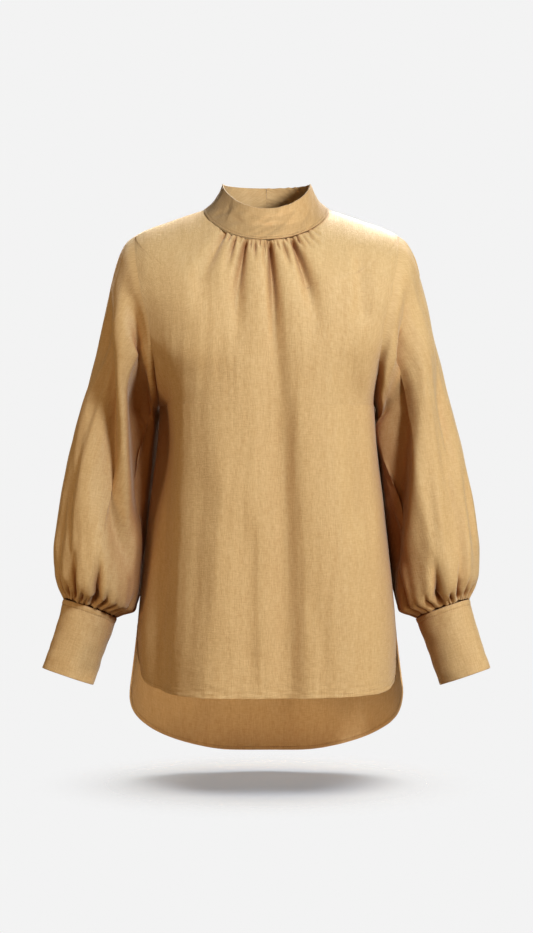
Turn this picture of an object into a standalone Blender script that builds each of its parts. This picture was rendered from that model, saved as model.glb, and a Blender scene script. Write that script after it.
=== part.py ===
"""A blouse with a high funnel collar, a gathered front neckline, full bishop sleeves gathered into
deep cuffs, and a rounded hem that is longer at the back. It is filled out as if it were worn.

Metres, +Z up. The front faces -Y and the wearer's left is at +X. The origin is in the middle of the
neck, level with the neck ends of the shoulder seams, which is where the wearer's neck and shoulders
hold the garment up. Every cloth piece is a thin wall: rows of points worked out on a curved form,
moved in or out by the folds, and then given a thickness.
"""

import math

import bpy
import numpy as np

MM = 0.001
WALL = 1.2 * MM
BAND_WALL = 2.4 * MM
SEAM_GAP = 0.3 * MM
ARMHOLE_GAP = 0.4 * MM
STEP = 1e-4
QUARTER = math.pi / 2

# The torso form, in millimetres. A row runs round the body, and "row" is its place from the neckline,
# 0, to the hem, 1. front, side and back are where it crosses the middle of the front, the side and the
# middle of the back. square is 2 for an ellipse and more for a boxier section. lean bends the row up
# towards the shoulder: 1 is a flat slope.
TORSO = {
    "row":     (0.00, 0.05, 0.14, 0.18, 0.22, 0.29, 0.36, 0.43, 0.64, 0.86, 1.00),
    "front_z": (-46, -74, -112, -131, -150, -190, -229, -268, -418, -570, -755),
    "front_y": (78, 95, 112, 118, 122, 127, 129, 130, 130, 131, 135),
    "side_z":  (3, -10.5, -33, -52, -84, -146, -206, -266, -418, -570, -755),
    "side_x":  (86, 126, 181, 199, 209, 195, 165, 148, 163, 178, 190),
    "back_z":  (7, -22, -74, -97, -120, -165, -216, -268, -418, -570, -755),
    "back_y":  (63, 78, 93, 97, 100, 103, 104, 105, 108, 112, 116),
    "square":  (2.0, 2.05, 2.2, 2.3, 2.4, 2.5, 2.7, 2.85, 2.7, 2.55, 2.45),
    "lean":    (1.2, 1.3, 1.5, 1.5, 1.5, 1.5, 1.5, 1.5, 1.5, 1.5, 1.5),
}
SHOULDER_ROW = 0.14
UNDERARM_ROW = 0.43
VENT_ROW = 0.86
VENT_Z = -570 * MM

# How far the armhole seam runs in from the side, as an angle round the torso.
ARMHOLE_IN = {"front": math.radians(30), "back": math.radians(24)}

# The hem: its lowest point, how far its ends rise, and how the side vents fall open.
FRONT_HEM_Z = -658 * MM
FRONT_HEM_BOW = 6 * MM
FRONT_CORNER_RISE = 52 * MM
FRONT_CORNER_FROM = 0.66
BACK_HEM_Z = -757 * MM
BACK_HEM_RISE = 104 * MM
BACK_HEM_POWER = 3.3
VENT_FLARE = {"front": -9 * MM, "back": 5 * MM}
VENT_LENGTH = 95 * MM

# The back neck slit that lets the head through, closed by two buttons and loops on the collar.
SLIT_LENGTH = 120 * MM
SLIT_HALF_GAP = 0.25 * MM


def through(knots, values, at):
    """A smooth curve through a table's column that never overshoots it."""
    knots, values = np.asarray(knots, float), np.asarray(values, float)
    gap = np.diff(knots)
    rise = np.diff(values) / gap
    slope = np.concatenate([[rise[0]], np.zeros(len(values) - 2), [rise[-1]]])
    for i in range(1, len(values) - 1):
        if rise[i - 1] * rise[i] > 0:
            near, far = 2 * gap[i] + gap[i - 1], gap[i] + 2 * gap[i - 1]
            slope[i] = (near + far) / (near / rise[i - 1] + far / rise[i])
    at = np.clip(at, knots[0], knots[-1])
    i = np.clip(np.searchsorted(knots, at, side="right") - 1, 0, len(gap) - 1)
    u = (at - knots[i]) / gap[i]
    start = values[i] * (1 + 2 * u) * (1 - u) ** 2 + slope[i] * gap[i] * u * (1 - u) ** 2
    end = values[i + 1] * u**2 * (3 - 2 * u) - slope[i + 1] * gap[i] * u**2 * (1 - u)
    return start + end


def ease(value, low, high):
    """0 at low, 1 at high, and smooth between."""
    u = np.clip((value - low) / (high - low), 0, 1)
    return u * u * (3 - 2 * u)


def unit(vectors):
    return vectors / np.maximum(np.linalg.norm(vectors, axis=-1, keepdims=True), 1e-12)


def hem_height(half, across):
    """The hem's height at a place across a panel, from -1 at one side to 1 at the other."""
    across = np.abs(across)
    if half == "back":
        return BACK_HEM_Z + BACK_HEM_RISE * across**BACK_HEM_POWER
    corner = np.clip((across - FRONT_CORNER_FROM) / (1 - FRONT_CORNER_FROM), 0, 1)
    return FRONT_HEM_Z + FRONT_HEM_BOW * across**2 + FRONT_CORNER_RISE * (1 - np.sqrt(1 - corner**2))


def torso(half, angle, row):
    """A point of the torso form, at an angle from the middle of its front or back towards +X."""
    angle, row = np.broadcast_arrays(np.asarray(angle, float), np.asarray(row, float))
    way = -1 if half == "front" else 1
    rows = TORSO["row"]
    hang = np.clip((row - VENT_ROW) / (1 - VENT_ROW), 0, None)
    fall = VENT_Z + (hem_height(half, angle / QUARTER) - VENT_Z) * hang
    row = np.where(hang > 0, through(TORSO["side_z"][:6:-1], rows[:6:-1], fall / MM), row)
    depth = through(rows, TORSO[half + "_y"], row) * MM
    width = through(rows, TORSO["side_x"], row) * MM
    square = through(rows, TORSO["square"], row)
    reach = (np.cos(angle) / depth) ** square + (np.abs(np.sin(angle)) / width) ** square
    reach = reach ** (-1 / square)
    forward = np.maximum(reach * np.cos(angle), 0)
    side = through(rows, TORSO["side_z"], row) * MM
    middle = through(rows, TORSO[half + "_z"], row) * MM
    height = side + (middle - side) * (forward / depth) ** through(rows, TORSO["lean"], row)
    flare = VENT_FLARE[half] * np.clip((VENT_Z - fall) / VENT_LENGTH, 0, 1) ** 1.5
    across = reach * np.sin(angle) + flare * np.sin(angle) ** 3
    return np.stack([across, way * forward, np.where(hang > 0, fall, height)], axis=-1)


def panel_edge(half, row):
    """The angle at which a panel ends: the side, or the armhole seam."""
    down = np.clip((row - SHOULDER_ROW) / (UNDERARM_ROW - SHOULDER_ROW), 0, 1)
    return QUARTER - ARMHOLE_IN[half] * 2 * np.sqrt(down * (1 - down))


# Gathers below the collar. angle is degrees from the middle of the front, towards +X; depth and width
# are of the trough, in millimetres, and length is how far down it runs.
GATHERS = {
    "angle":  (-46, -39, -31.5, -25, -19.5, -13, -8, -2.5, 6, 11.5, 16.5, 25, 31, 36.5, 43, 49),
    "depth":  (2.4, 1.6, 3.2, 1.8, 5.2, 2.4, 1.6, 2.6, 6.2, 1.8, 2.4, 5.6, 1.8, 2.4, 1.6, 1.0),
    "width":  (3.4, 2.0, 3.0, 2.0, 4.0, 2.4, 1.8, 2.6, 3.4, 2.0, 2.6, 3.8, 2.0, 2.6, 2.2, 2.4),
    "length": (95, 30, 70, 34, 130, 46, 28, 62, 150, 34, 48, 125, 30, 60, 34, 26),
}
GATHER_PUFF = 3.0 * MM
GATHER_HALF_SPAN = math.radians(50)


def gathers(angle, below):
    """How far the gathered front stands out of its form; below is the distance under the collar."""
    out = GATHER_PUFF * ease(below, -0.004, 0.016) * (1 - ease(below, 0.03, 0.17))
    out = out * (1 - ease(np.abs(angle), 0.6 * GATHER_HALF_SPAN, 1.2 * GATHER_HALF_SPAN))
    for centre, depth, width, length in zip(*GATHERS.values()):
        fade = 1 - ease(below, 0.35 * length * MM, length * MM)
        start = 0.30 + 0.70 * ease(below, 0, 0.016)
        radius = 0.080 + 0.35 * below
        off = (angle - math.radians(centre)) * radius / (width * MM * (1 + 6 * below))
        out = out - depth * MM * fade * start * np.exp(-(off**2))
    return out


# Long soft folds of the torso, in millimetres: where each starts and ends, seen from the front, how
# far it bows to +X halfway, how far it reaches to its left and right at the top, how many times wider
# it is at the bottom, and how deep it is; a negative depth is a ridge.
FRONT_FOLDS = {
    "top_x":    (12, -118, -34, 126, -104, 92),
    "top_z":    (-135, -165, -300, -50, -60, -330),
    "bottom_x": (30, -136, -66, 130, -108, 104),
    "bottom_z": (-900, -900, -900, -165, -230, -900),
    "bow":      (26, -8, 0, 0, 0, 0),
    "left":     (24, 14, 20, 12, 34, 24),
    "right":    (14, 34, 22, 12, 34, 26),
    "spread":   (1.7, 1.3, 1.3, 1.3, 1.2, 1.3),
    "depth":    (8.5, 11, -4, 4, -4, -3),
}
BACK_FOLDS = {
    "top_x":    (-60, 58, 2, -128, 126, -94, 96),
    "top_z":    (-190, -200, -150, -300, -300, -90, -84),
    "bottom_x": (-78, 80, 6, -150, 148, -122, 124),
    "bottom_z": (-900, -900, -800, -900, -900, -210, -200),
    "bow":      (6, -8, 4, 0, 0, 0, 0),
    "left":     (24, 26, 22, 24, 24, 14, 14),
    "right":    (24, 26, 22, 24, 24, 14, 14),
    "spread":   (1.6, 1.5, 1.5, 1.3, 1.3, 1.4, 1.4),
    "depth":    (7, 6.5, -4, 3, 3, 4, 4),
}


def long_folds(table, x, z):
    """The folds of one table, added up, at places seen from the front."""
    out = np.zeros_like(x)
    columns = [table[name] for name in FRONT_FOLDS]
    for top_x, top_z, bottom_x, bottom_z, bow, left, right, spread, depth in zip(*columns):
        along = (top_z * MM - z) / ((top_z - bottom_z) * MM)
        inside = np.clip(along, 0, 1)
        centre = top_x + (bottom_x - top_x) * along + 4 * bow * inside * (1 - inside)
        away = x - centre * MM
        wide = np.where(away < 0, left, right) * MM * (1 + (spread - 1) * inside)
        shown = ease(along, -0.02, 0.28) * (1 - ease(along, 0.80, 1.05))
        out = out - depth * MM * shown * np.exp(-((away / wide) ** 2))
    return out


def panel(half, across, row):
    """A point of the front or the back, folds and all, at -1 to 1 across and 0 to 1 down."""

    def place(across, row):
        return torso(half, across * panel_edge(half, row), row)

    points = place(across, row)
    out = normals(place, across, row, flip=half == "back")
    x, z = points[..., 0], points[..., 2]
    if half == "front":
        collar_seam = torso(half, across * QUARTER, 0 * row)
        below = np.linalg.norm(points - collar_seam, axis=-1)
        moved = long_folds(FRONT_FOLDS, x, z) + gathers(across * panel_edge(half, row), below)
    else:
        moved = long_folds(BACK_FOLDS, x, z)
    held = 1 - ease(np.abs(across), 0.86, 1)
    return points + out * (moved * held)[..., None]


def normals(place, across, row, flip=False):
    """Unit vectors out of a surface, from small steps along it."""
    a0, a1 = np.maximum(across - STEP, -1), np.minimum(across + STEP, 1)
    r0, r1 = np.maximum(row - STEP, 0), np.minimum(row + STEP, 1)
    along = place(a1, row) - place(a0, row)
    down = place(across, r1) - place(across, r0)
    out = unit(np.cross(down, along))
    return -out if flip else out


# The sleeve, in millimetres, from the armhole to the cuff, for the sleeve at +X. outer and inner are
# where a ring crosses the outside and the body side of the sleeve, centre_y is its middle, front and
# back its half depths, and lift how much higher its front is than its middle.
SLEEVE = {
    "along":    (0.00, 0.03, 0.07, 0.18, 0.276, 0.41, 0.54, 0.67, 0.80, 0.864, 0.93, 0.965, 1.00),
    "outer_x":  (181, 191.5, 200.5, 218, 230, 247, 264, 280, 291, 294, 293, 289, 280),
    "outer_z":  (-33, -42, -58, -115, -168, -235, -301, -367, -433, -466, -498, -516, -534),
    "inner_x":  (148, 149, 151, 152, 150, 138, 134, 139, 152, 162, 172, 181, 206),
    "inner_z":  (-266, -268, -272, -281, -292, -310, -338, -385, -446, -486, -526, -552, -560),
    "centre_y": (0, 0, 0, 1, 3, 6, 9, 10, 9, 7, 3, 0, -3),
    "front":    (72, 75, 77, 76, 73, 68, 66, 67, 70, 71, 66, 55, 33),
    "back":     (66, 69, 71, 71, 69, 66, 66, 68, 70, 71, 66, 55, 33),
    "lift":     (0, 0, 0, 0, 0, 0, 0, 0, 1, 2, 3, 4, 5.5),
    "pinch":    (0, 0, 0.03, 0.20, 0.42, 0.55, 0.56, 0.48, 0.34, 0.24, 0.10, 0.03, 0),
}
CUFF = {
    "along":    (0.0, 0.3, 1.0),
    "outer_x":  (280, 286.4, 307.5),
    "outer_z":  (-534, -562, -627.5),
    "inner_x":  (206, 216, 238),
    "inner_z":  (-560, -588, -651),
    "centre_y": (-3, -6.6, -15),
    "front":    (33, 32.2, 31),
    "back":     (33, 32.2, 31),
    "lift":     (5.5, 4.5, 3.0),
    "pinch":    (0, 0, 0),
}
ARMHOLE_BLEND = 0.35
SMOOTH_REACH = 0.16
BODY_CLEARANCE = 4.0 * MM


def armhole(turn):
    """A point of the armhole seam at +X: 0 is its top, a quarter turn its front and a half its foot."""
    row = SHOULDER_ROW + (UNDERARM_ROW - SHOULDER_ROW) * (1 - np.cos(turn)) / 2
    front = torso("front", panel_edge("front", row), row)
    back = torso("back", panel_edge("back", row), row)
    return np.where((np.sin(turn) >= 0)[..., None], front, back)


def past_armhole(turn):
    """The way the body's surface runs on past the armhole seam, square to the seam."""
    row = SHOULDER_ROW + (UNDERARM_ROW - SHOULDER_ROW) * (1 - np.cos(turn)) / 2
    sides = []
    for half, way in (("front", 1), ("back", -1)):
        angle = panel_edge(half, row)
        down = torso(half, angle, row + STEP) - torso(half, angle, row - STEP)
        along = torso(half, angle, row) - torso(half, angle - STEP, row)
        sides.append(unit(np.cross(down, along)) * way)
    out = np.where((np.sin(turn) >= 0)[..., None], *sides)
    return unit(np.cross(out, armhole(turn + STEP) - armhole(turn - STEP)))


def smooth_share(turn):
    """How smoothly the sleeve leaves the body: 1 over the shoulder, 0 under the arm."""
    return ease(np.cos(turn), -0.75, 0.1)


def ring(table, turn, along):
    """A point of the sleeve's or the cuff's form, before folds."""

    def column(name):
        return through(table["along"], table[name], along) * MM

    x = (column("outer_x") + column("inner_x")) / 2
    z = (column("outer_z") + column("inner_z")) / 2
    reach_x = (column("outer_x") - column("inner_x")) / 2
    reach_z = (column("outer_z") - column("inner_z")) / 2
    pinch = through(table["along"], table["pinch"], along) * ease(-np.cos(turn), 0, 0.85)
    depth = np.where(np.sin(turn) >= 0, column("front") * (1 - pinch), column("back"))
    x = x + reach_x * np.cos(turn)
    y = column("centre_y") - depth * np.sin(turn)
    z = z + reach_z * np.cos(turn) + column("lift") * np.sin(turn)
    return np.stack([x, y, z], axis=-1)


def body_side(y, z):
    """How far out the body reaches, below the armhole, at a depth and a height."""
    levels, low = TORSO["side_z"][:6:-1], z / MM
    width = through(levels, TORSO["side_x"][:6:-1], low) * MM
    square = through(levels, TORSO["square"][:6:-1], low)
    front = through(levels, TORSO["front_y"][:6:-1], low) * MM
    back = through(levels, TORSO["back_y"][:6:-1], low) * MM
    share = np.clip(np.abs(y) / np.where(y < 0, front, back), 0, 1)
    return width * (1 - share**square) ** (1 / square)


def sleeve_form(turn, along):
    """A point of the sleeve before folds: rings that start on the armhole seam and hang beside the body."""
    start = armhole(turn) - ring(SLEEVE, turn, 0 * along)
    points = ring(SLEEVE, turn, along) + start * (1 - ease(along, 0, ARMHOLE_BLEND))[..., None]
    slope = (ring(SLEEVE, turn, 0 * along + STEP) - ring(SLEEVE, turn, 0 * along)) / STEP
    smooth = past_armhole(turn) * np.linalg.norm(slope, axis=-1, keepdims=True) - slope
    fading = smooth_share(turn) * along * np.clip(1 - along / SMOOTH_REACH, 0, 1) ** 2
    points = points + smooth * fading[..., None]
    x, y, z = points[..., 0], points[..., 1], points[..., 2]
    limit = body_side(y, z) + BODY_CLEARANCE
    beyond = x - limit
    clear = limit + (beyond + np.hypot(beyond, 2 * MM)) / 2
    x = x + (clear - x) * ease(along, 0.10, 0.28)
    return np.stack([x, y, z], axis=-1)


# Long folds of each sleeve, in millimetres, seen from the front for the sleeve at +X, so that x is
# the distance from the middle of the garment on either side. facing is 1 on the front, -1 on the back.
LEFT_SLEEVE_FOLDS = {
    "top_x":    (200, 213, 222, 150, 206, 246, 178),
    "top_z":    (-95, -150, -225, -180, -90, -200, -140),
    "bottom_x": (160, 186, 256, 146, 186, 266, 190),
    "bottom_z": (-470, -450, -480, -290, -400, -500, -300),
    "bow":      (-3, 4, 0, 0, 0, 0, 0),
    "left":     (14, 10, 10, 10, 12, 14, 12),
    "right":    (10, 10, 10, 10, 12, 14, 12),
    "spread":   (1.5, 1.3, 1.2, 1.0, 1.3, 1.0, 1.0),
    "depth":    (9, -4, 5, 2, 10, 5, -3),
    "facing":   (1, 1, 1, 1, -1, -1, -1),
}
RIGHT_SLEEVE_FOLDS = {
    "top_x":    (196, 169, 212, 198, 240, 208, 246),
    "top_z":    (-50, -50, -92, -80, -200, -90, -220),
    "bottom_x": (187, 158, 190, 180, 246, 188, 262),
    "bottom_z": (-130, -430, -440, -440, -440, -420, -500),
    "bow":      (4, 3, 5, 3, 0, 0, 0),
    "left":     (9, 10, 9, 10, 12, 12, 14),
    "right":    (9, 14, 15, 10, 12, 12, 14),
    "spread":   (1.0, 1.3, 1.2, 1.1, 1.2, 1.3, 1.0),
    "depth":    (4, 6, 11, -4, -3, 9, 5),
    "facing":   (1, 1, 1, 1, 1, -1, -1),
}

# Folds on the outside and the back of both sleeves: degrees round the sleeve at each end, where along
# the sleeve each starts and ends, and its width and depth in millimetres.
SIDE_FOLDS = {
    "from_turn": (-34, 32, -62, 26, -104),
    "to_turn":   (-22, 42, -44, 32, -92),
    "start":     (0.06, 0.28, 0.32, 0.58, 0.20),
    "end":       (0.60, 0.78, 0.86, 0.96, 0.70),
    "wide":      (10, 11, 10, 9, 10),
    "depth":     (5, 4, 6, 4, 5),
}
SLEEVE_RADIUS = 68

# Gathers above the cuff: degrees round the sleeve from its outside, towards the front, and the
# trough's depth, width and length in millimetres.
CUFF_GATHERS = {
    "turn":   (8, 28, 48, 64, 82, 98, 114, 134, 156, 182, 208, 232, 254, 276, 298, 320, 342),
    "depth":  (3, 6, 4, 7, 8, 5, 6, 7, 5, 6, 5, 7, 6, 8, 5, 6, 4),
    "width":  (5, 6, 5, 6, 7, 5, 6, 8, 7, 9, 7, 7, 6, 7, 5, 7, 6),
    "length": (50, 75, 40, 60, 95, 45, 55, 70, 60, 70, 50, 75, 50, 90, 45, 65, 45),
}


def side_folds(turn, along):
    out = np.zeros_like(along)
    for first, last, start, end, wide, depth in zip(*SIDE_FOLDS.values()):
        part = (along - start) / (end - start)
        centre = math.radians(first) + math.radians(last - first) * part
        away = (turn - centre + math.pi) % (2 * math.pi) - math.pi
        shown = ease(part, 0, 0.35) * (1 - ease(part, 0.65, 1))
        out = out - depth * MM * shown * np.exp(-((away * SLEEVE_RADIUS / wide) ** 2))
    return out


def cuff_gathers(turn, above):
    """How far the sleeve moves out near the cuff; above is the distance up from the cuff seam."""
    out = np.zeros_like(above)
    for centre, depth, width, length in zip(*CUFF_GATHERS.values()):
        away = np.abs((turn - math.radians(centre) + math.pi) % (2 * math.pi) - math.pi)
        fade = 1 - ease(above, 0.25 * length * MM, length * MM)
        start = 0.18 + 0.82 * ease(above, 0, 0.018)
        radius = 0.036 + 0.32 * np.minimum(above, 0.1)
        off = away * radius / (width * MM * (0.45 + 9 * np.minimum(above, 0.1)))
        out = out - depth * MM * fade * start * np.exp(-(off**2))
    return out


def sleeve(side, turn, along):
    """A point of a sleeve with its folds; side is 1 at +X and -1 at -X."""
    points = sleeve_form(turn, along)
    out = tube_normals(sleeve_form, turn, along)
    folds = LEFT_SLEEVE_FOLDS if side > 0 else RIGHT_SLEEVE_FOLDS
    moved = np.zeros_like(points[..., 0])
    for facing in (1, -1):
        shown = ease(facing * np.sin(turn), -0.1, 0.35)
        rows = [i for i, way in enumerate(folds["facing"]) if way == facing]
        table = {name: [folds[name][i] for i in rows] for name in folds if name != "facing"}
        moved = moved + shown * long_folds(table, points[..., 0], points[..., 2])
    above = np.linalg.norm(points - ring(SLEEVE, turn, 0 * along + 1), axis=-1)
    moved = (moved + side_folds(turn, along)) * ease(along, 0, 0.12) + cuff_gathers(turn, above)
    points = points + out * moved[..., None]
    return points * (side, 1, 1)


def tube_normals(place, turn, along):
    """Unit vectors out of a tube that runs down from its first ring."""
    a0, a1 = np.maximum(along - STEP, 0), np.minimum(along + STEP, 1)
    round_it = place(turn + STEP, along) - place(turn - STEP, along)
    down = place(turn, a1) - place(turn, a0)
    return unit(np.cross(round_it, down))


# The collar, in millimetres, from its seam, 0, to its rim, 1.
COLLAR = {
    "up":      (0.0, 0.2, 0.45, 0.7, 1.0),
    "front_z": (-45.5, -37, -26, -14.5, -2),
    "front_y": (79, 75, 70.5, 66.5, 62),
    "side_z":  (3.5, 9, 17, 27, 39),
    "side_x":  (86.5, 79, 71.5, 65.5, 61),
    "back_z":  (7.5, 14, 22, 30.5, 39),
    "back_y":  (63.5, 60, 56.5, 53.5, 51),
}
COLLAR_LEAN = 1.2
COLLAR_CREASES = {
    "angle": (-16, -34, 10, 24),
    "up":    (0.42, 0.30, 0.55, 0.34),
    "wide":  (15, 11, 20, 10),
    "tall":  (0.10, 0.12, 0.09, 0.08),
    "depth": (1.6, 1.8, 1.2, 0.9),
}


def collar(half, angle, up):
    """A point of the collar's outer face, at an angle from the middle of its front or back."""

    def column(name):
        return through(COLLAR["up"], COLLAR[name], up) * MM

    depth, width = column(half + "_y"), column("side_x")
    reach = ((np.cos(angle) / depth) ** 2 + (np.sin(angle) / width) ** 2) ** -0.5
    if half == "front":
        for centre, level, wide, tall, deep in zip(*COLLAR_CREASES.values()):
            away = (np.degrees(angle) - centre) / wide
            reach = reach - deep * MM * np.exp(-(away**2) - ((up - level) / tall) ** 2)
    forward = np.maximum(reach * np.cos(angle), 0)
    side = column("side_z")
    height = side + (column(half + "_z") - side) * (forward / depth) ** COLLAR_LEAN
    way = -1 if half == "front" else 1
    return np.stack([reach * np.sin(angle), way * forward, height], axis=-1)


# The buttons at the back of the neck, in millimetres from the collar's face, and their cord loops.
BUTTON = {
    "radius": (1.8, 1.8, 4.2, 4.8, 4.4),
    "height": (0.3, 2.4, 2.4, 3.4, 4.3),
}
BUTTON_TOP = 4.6 * MM
BUTTON_SIDES = 16
BUTTON_X = 6.0 * MM
BUTTON_UP = {"lower": 0.27, "upper": 0.75}
LOOP_RADIUS = 0.7 * MM
LOOP_BEND = 2.9 * MM
LOOP_END_X = -9.0 * MM
LOOP_SIDES = 6
COLLAR_BACK_RADIUS = 57 * MM
COLLAR_BACK_HEIGHT = 34 * MM


def on_collar(x, up_by, up):
    """Places on the back of the collar, near a height, and the unit vectors across, up and out."""
    def place(x, up_by):
        return collar("back", x / COLLAR_BACK_RADIUS, up + up_by / COLLAR_BACK_HEIGHT)

    across = unit(place(x + STEP, up_by) - place(x - STEP, up_by))
    upward = unit(place(x, up_by + STEP) - place(x, up_by - STEP))
    out = unit(np.cross(upward, across))
    points = place(x, up_by)
    points[..., 2] += COLLAR_LIFT
    return points, across, unit(np.cross(across, out)), out


def make_button(name, up, material):
    centre, across, upward, out = on_collar(np.array(BUTTON_X), np.array(0.0), up)
    turn = (np.arange(BUTTON_SIDES) * 2 * math.pi / BUTTON_SIDES)[:, None]
    spokes = across * np.cos(turn) + upward * np.sin(turn)
    rings = zip(BUTTON["radius"], BUTTON["height"])
    points = [centre + out * height * MM + spokes * radius * MM for radius, height in rings]
    top = [centre + out * BUTTON_TOP]
    base = [centre + out * BUTTON["height"][0] * MM]
    faces = skin_faces([BUTTON_SIDES] * len(points), True)
    count, last = len(points) * BUTTON_SIDES, (len(points) - 1) * BUTTON_SIDES
    for i in range(BUTTON_SIDES):
        j = (i + 1) % BUTTON_SIDES
        faces += [(count, last + j, last + i), (count + 1, i, j)]
    return add_object(name, np.concatenate(points + [top, base]), faces, material)


def make_loop(name, up, material):
    bend = np.linspace(QUARTER, -QUARTER, 7)
    legs = np.array([LOOP_END_X, LOOP_END_X / 3, BUTTON_X / 2])
    x = np.concatenate([legs, BUTTON_X + LOOP_BEND * np.cos(bend), legs[::-1]])
    rise = LOOP_BEND * np.concatenate([np.ones(3), np.sin(bend), -np.ones(3)])
    centre, _, _, out = on_collar(x, rise, up)
    centre = centre + out * (SEAM_GAP + LOOP_RADIUS)
    tangent = unit(np.gradient(centre, axis=0))
    side = unit(np.cross(tangent, out))
    rings = []
    for middle, one, other in zip(centre, side, np.cross(side, tangent)):
        turn = (np.arange(LOOP_SIDES) * 2 * math.pi / LOOP_SIDES)[:, None]
        rings.append(middle + LOOP_RADIUS * (one * np.cos(turn) + other * np.sin(turn)))
    faces = skin_faces([LOOP_SIDES] * len(rings), True)
    last = (len(rings) - 1) * LOOP_SIDES
    faces += [tuple(range(LOOP_SIDES)), tuple(last + i for i in reversed(range(LOOP_SIDES)))]
    return add_object(name, np.concatenate(rings), faces, material)


def add_object(name, points, faces, material):
    mesh = bpy.data.meshes.new(name)
    mesh.from_pydata([tuple(p) for p in points], [], faces)
    mesh.validate()
    mesh.shade_smooth()
    mesh.set_sharp_from_angle(angle=math.radians(50))
    mesh.materials.append(material)
    made = bpy.data.objects.new(name, mesh)
    bpy.context.scene.collection.objects.link(made)
    made.parent = bpy.data.objects["blouse"]
    return made


def skin_faces(counts, closed, left_out=()):
    """The faces between rows of points. A row has as many points as the one before, or half as many.

    left_out holds (row, column) cells that stay open, counted in the upper row's own columns."""
    starts = np.concatenate([[0], np.cumsum(counts)]).astype(int)
    faces = []
    for row, (upper, lower) in enumerate(zip(counts[:-1], counts[1:])):
        a, b = starts[row], starts[row + 1]
        if upper == lower:
            for i in range(upper if closed else upper - 1):
                if (row, i) not in left_out:
                    j = (i + 1) % upper
                    faces.append((a + i, b + i, b + j, a + j))
            continue
        for i in range(lower if closed else lower - 1):
            j = (i + 1) % lower
            k = (2 * i + 2) % upper
            faces += [(a + 2 * i, b + i, a + 2 * i + 1), (a + 2 * i + 1, b + i, b + j, a + k)]
    return faces


def wall(name, rows, outward, thickness, material, closed=False, left_out=(), turned=False):
    """A closed wall from rows of outer points and the unit vectors out of them."""
    outer = np.concatenate(rows)
    inner = outer - np.concatenate(outward) * thickness
    skin = skin_faces([len(row) for row in rows], closed, left_out)
    if turned:
        skin = [face[::-1] for face in skin]
    edges = {}
    for face in skin:
        for edge in zip(face, face[1:] + face[:1]):
            edges[edge] = True
    rim = [edge for edge in edges if edge[::-1] not in edges]
    total = len(outer)
    lining = [tuple(total + i for i in reversed(face)) for face in skin]
    rim_faces = [(b, a, total + a, total + b) for a, b in rim]
    return add_object(name, np.concatenate([outer, inner]), skin + lining + rim_faces, material)


ARMHOLE_STEPS = 8
SLEEVE_COLUMNS = 32
FRONT_COLUMNS = 36
BACK_COLUMNS = 28
YOKE_ROWS = (0.0, 0.012, 0.028, 0.048, 0.072, 0.104, SHOULDER_ROW)
LOWER_ROWS = (0.50, 0.57, 0.64, 0.71, 0.785, VENT_ROW, 0.90, 0.95, 1.0)
FINE_ROWS = 9


def panel_rows():
    """The rows of the front and the back; those of the armhole are also the sleeve's first points."""
    turns = np.arange(1, ARMHOLE_STEPS + 1) * math.pi / ARMHOLE_STEPS
    arm = SHOULDER_ROW + (UNDERARM_ROW - SHOULDER_ROW) * (1 - np.cos(turns)) / 2
    return [*YOKE_ROWS, *arm, *LOWER_ROWS]


def gather_spaced(count):
    """Columns across the front, close together where it is gathered."""
    even = np.linspace(-1, 1, count)
    return 0.62 * even + 0.38 * even**3


def seam_shift(half, across, row):
    """How far a panel's point moves off the seam it meets another piece at."""
    on_side = (np.abs(across) > 1 - 1e-9) & ((row <= SHOULDER_ROW) | (row >= UNDERARM_ROW - 1e-9))
    shift = np.zeros(across.shape + (3,))
    shift[..., 1] = np.where(on_side, SEAM_GAP / 2, 0) * (-1 if half == "front" else 1)
    return shift


def panel_walls(half, across, row):
    """A panel's points and outward vectors in one row; both panels have the same vectors at a seam."""
    row = np.full(across.shape, row)
    points = panel(half, across, row) + seam_shift(half, across, row)
    out = normals(lambda a, r: panel(half, a, r), across, row, flip=half == "back")
    on_seam = (np.abs(across) > 1 - 1e-9)[..., None]
    level = out * (1, 0, 1)
    shared = (row <= SHOULDER_ROW) | (row >= UNDERARM_ROW - 1e-9)
    out = np.where(on_seam & shared[..., None], unit(level), out)
    return points, out


def make_front(cloth):
    coarse = gather_spaced(FRONT_COLUMNS)
    fine = np.interp(np.arange(2 * FRONT_COLUMNS - 1) / 2, np.arange(FRONT_COLUMNS), coarse)
    rows, outward = [], []
    for number, row in enumerate(panel_rows()):
        points, out = panel_walls("front", fine if number < FINE_ROWS else coarse, row)
        rows.append(points)
        outward.append(out)
    return wall("front", rows, outward, WALL, cloth)


def make_back(cloth):
    across = np.linspace(-1, 1, BACK_COLUMNS)
    middle = BACK_COLUMNS // 2
    rows, outward, open_cells = [], [], set()
    top = torso("back", 0.0, 0.0)
    for number, row in enumerate(panel_rows()):
        places = across.copy()
        here = torso("back", 0.0, row)
        far_down = np.linalg.norm(here - top)
        half_angle = SLIT_HALF_GAP / here[1] / panel_edge("back", np.array(row))
        spread = ease(far_down, SLIT_LENGTH * 0.9, SLIT_LENGTH * 1.8)
        places[middle - 1] += (-half_angle - places[middle - 1]) * (1 - spread)
        places[middle] = -places[middle - 1]
        if far_down < SLIT_LENGTH:
            open_cells.add((number, middle - 1))
        points, out = panel_walls("back", places, row)
        rows.append(points)
        outward.append(out)
    return wall("back", rows, outward, WALL, cloth, left_out=open_cells, turned=True)


SLEEVE_ROWS = (0.0, 0.03, 0.07, 0.12, 0.18, 0.24, 0.31, 0.39, 0.47, 0.55, 0.63, 0.71)
PUFF_ROWS = (0.775, 0.83, 0.875, 0.912, 0.944, 0.972, 1.0)


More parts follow.
